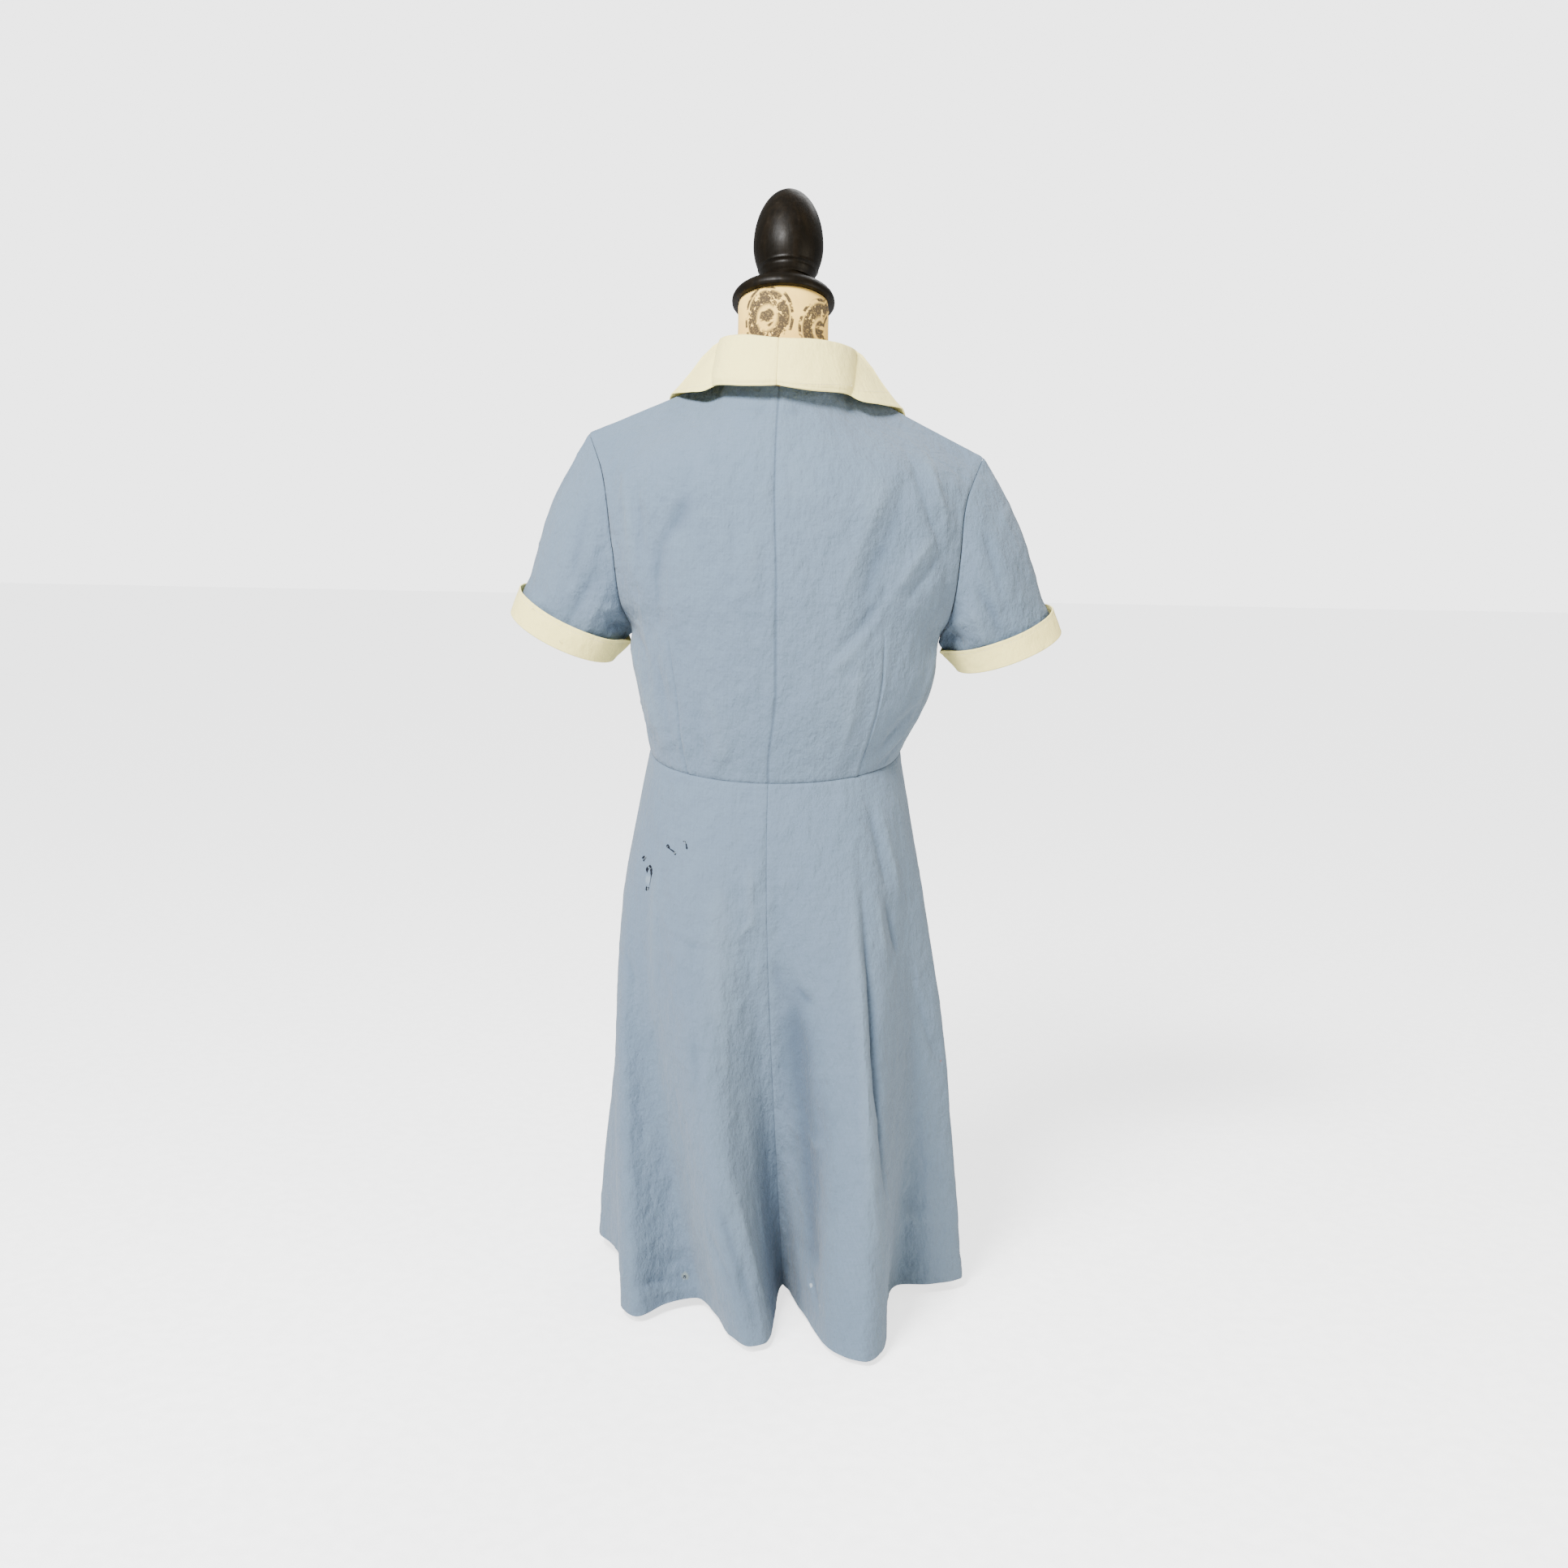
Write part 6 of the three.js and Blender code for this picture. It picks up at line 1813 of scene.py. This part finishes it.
def make_floor(look):
    """The pale floor, wide enough to reach the skyline."""
    mesh = bpy.data.meshes.new("floor")
    corners = [(x * FLOOR_REACH, y * FLOOR_REACH, 0) for x, y in ((-1, -1), (1, -1), (1, 1), (-1, 1))]
    mesh.from_pydata(corners, [], [(0, 1, 2, 3)])
    finish = plain("Pale floor", tuple(look.floor), 0.9, 60, 0.0001)
    lift_floor(finish, look.floor_glow)
    mesh.materials.append(finish)
    return put("floor", mesh)


def light_world(look):
    """Soft light from all round, and a white backdrop that only the camera sees."""
    world = bpy.context.scene.world or bpy.data.worlds.new("Studio")
    bpy.context.scene.world = world
    world.use_nodes = True
    tree = world.node_tree
    sky = tree.nodes["Background"]
    sky.inputs["Color"].default_value = (0.94, 0.97, 1.0, 1)
    sky.inputs["Strength"].default_value = look.soft_light
    seen = add_node(tree, "ShaderNodeBackground", {"Color": (1, 1, 1, 1), "Strength": look.backdrop})
    ray = add_node(tree, "ShaderNodeLightPath").outputs["Is Camera Ray"]
    split = add_node(tree, "ShaderNodeMixShader", {0: ray, 1: sky.outputs[0], 2: seen.outputs[0]})
    tree.links.new(split.outputs[0], tree.nodes["World Output"].inputs["Surface"])


def set_camera():
    """The camera behind the dress, looking forwards and a little down."""
    camera = bpy.data.cameras.new("camera")
    camera.lens, camera.sensor_width = CAMERA["lens"], CAMERA["sensor"]
    camera.clip_start, camera.clip_end = CAMERA["clip"]
    held = put("camera", camera)
    down, roll = math.radians(CAMERA["down"]), math.radians(CAMERA["roll"])
    right, up = np.array([-1.0, 0, 0]), np.array([0, -math.sin(down), math.cos(down)])
    back = np.array([0, math.cos(down), math.sin(down)])
    turned_right = right * math.cos(roll) + up * math.sin(roll)
    turned_up = up * math.cos(roll) - right * math.sin(roll)
    place = Matrix(np.column_stack([turned_right, turned_up, back]).tolist()).to_4x4()
    place.translation = CAMERA["place"]
    held.matrix_world = place
    bpy.context.scene.camera = held


def make_stage():
    """A pale floor, soft studio light and the camera."""
    look = settings()
    floor = make_floor(look)
    for name, place, share, softness in SUNS:
        sun_light(name, place, look.key_light * share, softness)
    for name, place, aim, size, share, tint in LAMPS:
        area_light(name, place, aim, size, look.lamp * share, tint)
    floor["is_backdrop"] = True
    light_world(look)
    set_camera()


# ---- add-on ----------------------------------
def number(name, description, default, low, high, **kind):
    """A number for the panel."""
    limits = {"min": low, "max": high, **kind}
    return bpy.props.FloatProperty(name=name, description=description, default=default, **limits)


def length(name, description, default, low, high):
    """A length for the panel."""
    return number(name, description, default, low, high, subtype="DISTANCE", unit="LENGTH", precision=4)


def factor(name, description, default, low, high):
    """A plain strength for the panel."""
    return number(name, description, default, low, high, subtype="FACTOR")


def count(name, description, default, low, high):
    """A whole number for the panel."""
    return bpy.props.IntProperty(name=name, description=description, default=default, min=low, max=high)


def colour(name, description, default):
    """A colour for the panel."""
    return bpy.props.FloatVectorProperty(
        name=name, description=description, default=default, subtype="COLOR", size=3, min=0, max=1
    )


class DressSettings(bpy.types.PropertyGroup):
    """Sizes and colours of the dress, its form and its stage."""

    cloth: length("Cloth", "Thickness of the blue cloth", 0.0007, 0.0003, 0.0014)
    collar_cloth: length("Collar cloth", "Thickness of the collar's layers", 0.0015, 0.0008, 0.002)
    crease_strength: factor("Creases", "Depth of the placed folds and creases", 1.9, 0.0, 2.5)
    unevenness: factor("Unevenness", "Depth of the cloth's small unevenness", 1.25, 0.0, 1.5)
    bodice_rows: count("Bodice rows", "Rows of faces up a bodice panel", 120, 30, 200)
    bodice_columns: count("Bodice columns", "Columns of faces across a bodice panel", 90, 30, 160)
    skirt_column: length("Skirt column", "Width of a skirt face at the hem", 0.0038, 0.0025, 0.012)
    skirt_rows: count("Skirt rows", "Rows of faces down the skirt", 140, 40, 200)
    sleeve_rows: count("Sleeve rows", "Rows of faces down a sleeve", 60, 20, 120)
    sleeve_turns: count("Sleeve columns", "Columns of faces round a sleeve", 140, 40, 240)
    collar_rows: count("Collar rows", "Rows of faces on the collar's fall", 45, 15, 90)
    collar_columns: count("Collar columns", "Columns of faces along a collar half", 100, 30, 180)
    stitch: length("Stitch", "Length of an edge stitch", 0.0022, 0.001, 0.005)
    blue: colour("Blue cotton", "Colour of the dress", (0.116, 0.164, 0.224))
    cream: colour("Cream cotton", "Colour of the collar and cuffs", (0.98, 0.85, 0.32))
    form_ground: colour("Form cloth", "Ground colour of the form's cover", (0.97, 0.63, 0.15))
    form_ink: colour("Form print", "Colour of the print on the form's cover", (0.04, 0.028, 0.018))
    lacquer: colour("Lacquer", "Colour of the turned wood and the stand", (0.0048, 0.0036, 0.002))
    button: colour("Buttons", "Colour of the buttons", (0.83, 0.76, 0.58))
    blue_thread: colour("Blue thread", "Colour of the thread on the blue cloth", (0.15, 0.21, 0.29))
    cream_thread: colour("Cream thread", "Colour of the thread on the cream cloth", (0.86, 0.8, 0.62))
    floor: colour("Floor", "Colour of the floor", (0.95, 0.95, 0.95))
    key_light: number("Key light", "Strength of the even light from behind the camera", 2.7, 0.0, 20.0)
    lamp: number("Lamp", "Power of the near lamp", 125.0, 0.0, 1000.0, unit="POWER")
    soft_light: factor("Soft light", "Strength of the light from all round", 0.4, 0.0, 5.0)
    backdrop: factor("Backdrop", "Brightness of the backdrop behind the dress", 3.6, 0.0, 10.0)
    floor_glow: factor("Floor glow", "How far the floor is lifted to the backdrop's white", 2.0, 0.0, 10.0)


class DRESS_OT_bodice(bpy.types.Operator):
    """Makes the four bodice panels with their darts and creases"""

    bl_idname, bl_label = "dress.bodice", "Bodice"

    def execute(self, context):
        for side in (1, -1):
            back_bodice(side)
            front_bodice(side)
        return {"FINISHED"}


class DRESS_OT_sleeves(bpy.types.Operator):
    """Makes both sleeves and their turned-up cuffs"""

    bl_idname, bl_label = "dress.sleeves", "Sleeves and cuffs"

    def execute(self, context):
        for side in (1, -1):
            sleeve_piece(side)
            cuff_piece(side)
        return {"FINISHED"}


class DRESS_OT_collar(bpy.types.Operator):
    """Makes both halves of the collar"""

    bl_idname, bl_label = "dress.collar", "Collar"

    def execute(self, context):
        for side in (1, -1):
            collar_piece(side)
        return {"FINISHED"}


class DRESS_OT_skirt(bpy.types.Operator):
    """Makes the three skirt panels with their folds"""

    bl_idname, bl_label = "dress.skirt", "Skirt"

    def execute(self, context):
        for panel in SKIRT_PANELS:
            skirt_panel(*panel)
        return {"FINISHED"}


class DRESS_OT_sewing(bpy.types.Operator):
    """Sews the collar's and cuffs' edges, the hem, the lap and the buttonholes"""

    bl_idname, bl_label = "dress.sewing", "Sewing"

    def execute(self, context):
        stitch = settings().stitch / MM
        for side, word in ((1, "left"), (-1, "right")):
            paths = [collar_stitching(side)]
            stitched(f"collar_{word}_stitches", paths, "cream_cotton", "cream_thread", stitch)
            stitched(f"cuff_{word}_stitches", [cuff_stitching(side)], "cream_cotton", "cream_thread", stitch)
        hem = [hem_stitching(*panel) for panel in SKIRT_PANELS]
        stitched("hem_stitches", hem, "blue_cotton", "blue_thread", 1.2, 8.5, 0.35, 9)
        stitched("lap_stitches", placket_stitching(), "blue_cotton", "blue_thread", stitch)
        holes = [buttonhole(index) for index in range(BUTTONS["count"])]
        stitched("buttonhole_stitches", holes, "blue_cotton", "blue_thread", 0.9, 0.1, 0.5, 12)
        return {"FINISHED"}


class DRESS_OT_wear(bpy.types.Operator):
    """Adds the small tears, shown as dark leaves of painted shade, and frayed threads"""

    bl_idname, bl_label = "dress.wear", "Wear"

    def execute(self, context):
        tear_shade_leaves()
        frayed_threads()
        loose_ends()
        return {"FINISHED"}


class DRESS_OT_buttons(bpy.types.Operator):
    """Makes the buttons of the front and sews them on"""

    bl_idname, bl_label = "dress.buttons", "Buttons"

    def execute(self, context):
        for index in range(BUTTONS["count"]):
            button_piece(index)
        return {"FINISHED"}


class DRESS_OT_form(bpy.types.Operator):
    """Makes the printed form with its turned cap and finial, and its stand"""

    bl_idname, bl_label = "dress.form", "Form and stand"

    def execute(self, context):
        softened("form_torso", "printed_form_cloth", smooth=2)
        turned_on_neck()
        upright("stand_pole", 0.6)
        upright("stand_hub", 3.0)
        for index in (1, 2, 3):
            softened(f"stand_leg_{index}", "black_wood", bevel=0.0025)
        return {"FINISHED"}


class DRESS_OT_stage(bpy.types.Operator):
    """Sets the floor, the lights and the camera"""

    bl_idname, bl_label = "dress.stage", "Stage"

    def execute(self, context):
        make_stage()
        return {"FINISHED"}


OPERATORS = (
    DRESS_OT_bodice,
    DRESS_OT_sleeves,
    DRESS_OT_collar,
    DRESS_OT_skirt,
    DRESS_OT_sewing,
    DRESS_OT_wear,
    DRESS_OT_buttons,
    DRESS_OT_form,
    DRESS_OT_stage,
)


class DRESS_PT_panel(bpy.types.Panel):
    """The dress's sizes and colours, and a button for each group of pieces"""

    bl_idname, bl_label = "DRESS_PT_panel", "Waitress dress"
    bl_space_type, bl_region_type, bl_category = "VIEW_3D", "UI", "Dress"

    def draw(self, context):
        for name in DressSettings.__annotations__:
            self.layout.prop(context.scene.dress, name)
        for made in OPERATORS:
            self.layout.operator(made.bl_idname)


CLASSES = (DressSettings, *OPERATORS, DRESS_PT_panel)


def register():
    """Registers the panel, its settings and its operators."""
    for made in CLASSES:
        bpy.utils.register_class(made)
    bpy.types.Scene.dress = bpy.props.PointerProperty(type=DressSettings)


def unregister():
    """Takes them out again."""
    del bpy.types.Scene.dress
    for made in reversed(CLASSES):
        bpy.utils.unregister_class(made)


def main():
    """Makes every piece and the stage."""
    register()
    make_materials()
    for name in ("bodice", "sleeves", "collar", "skirt", "sewing", "wear", "buttons", "form", "stage"):
        getattr(bpy.ops.dress, name)()
    sizes = {"cad": [list(corner) for corner in CAD_BOX], "dressed": [list(corner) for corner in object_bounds()]}


if __name__ == "__main__":
    main()
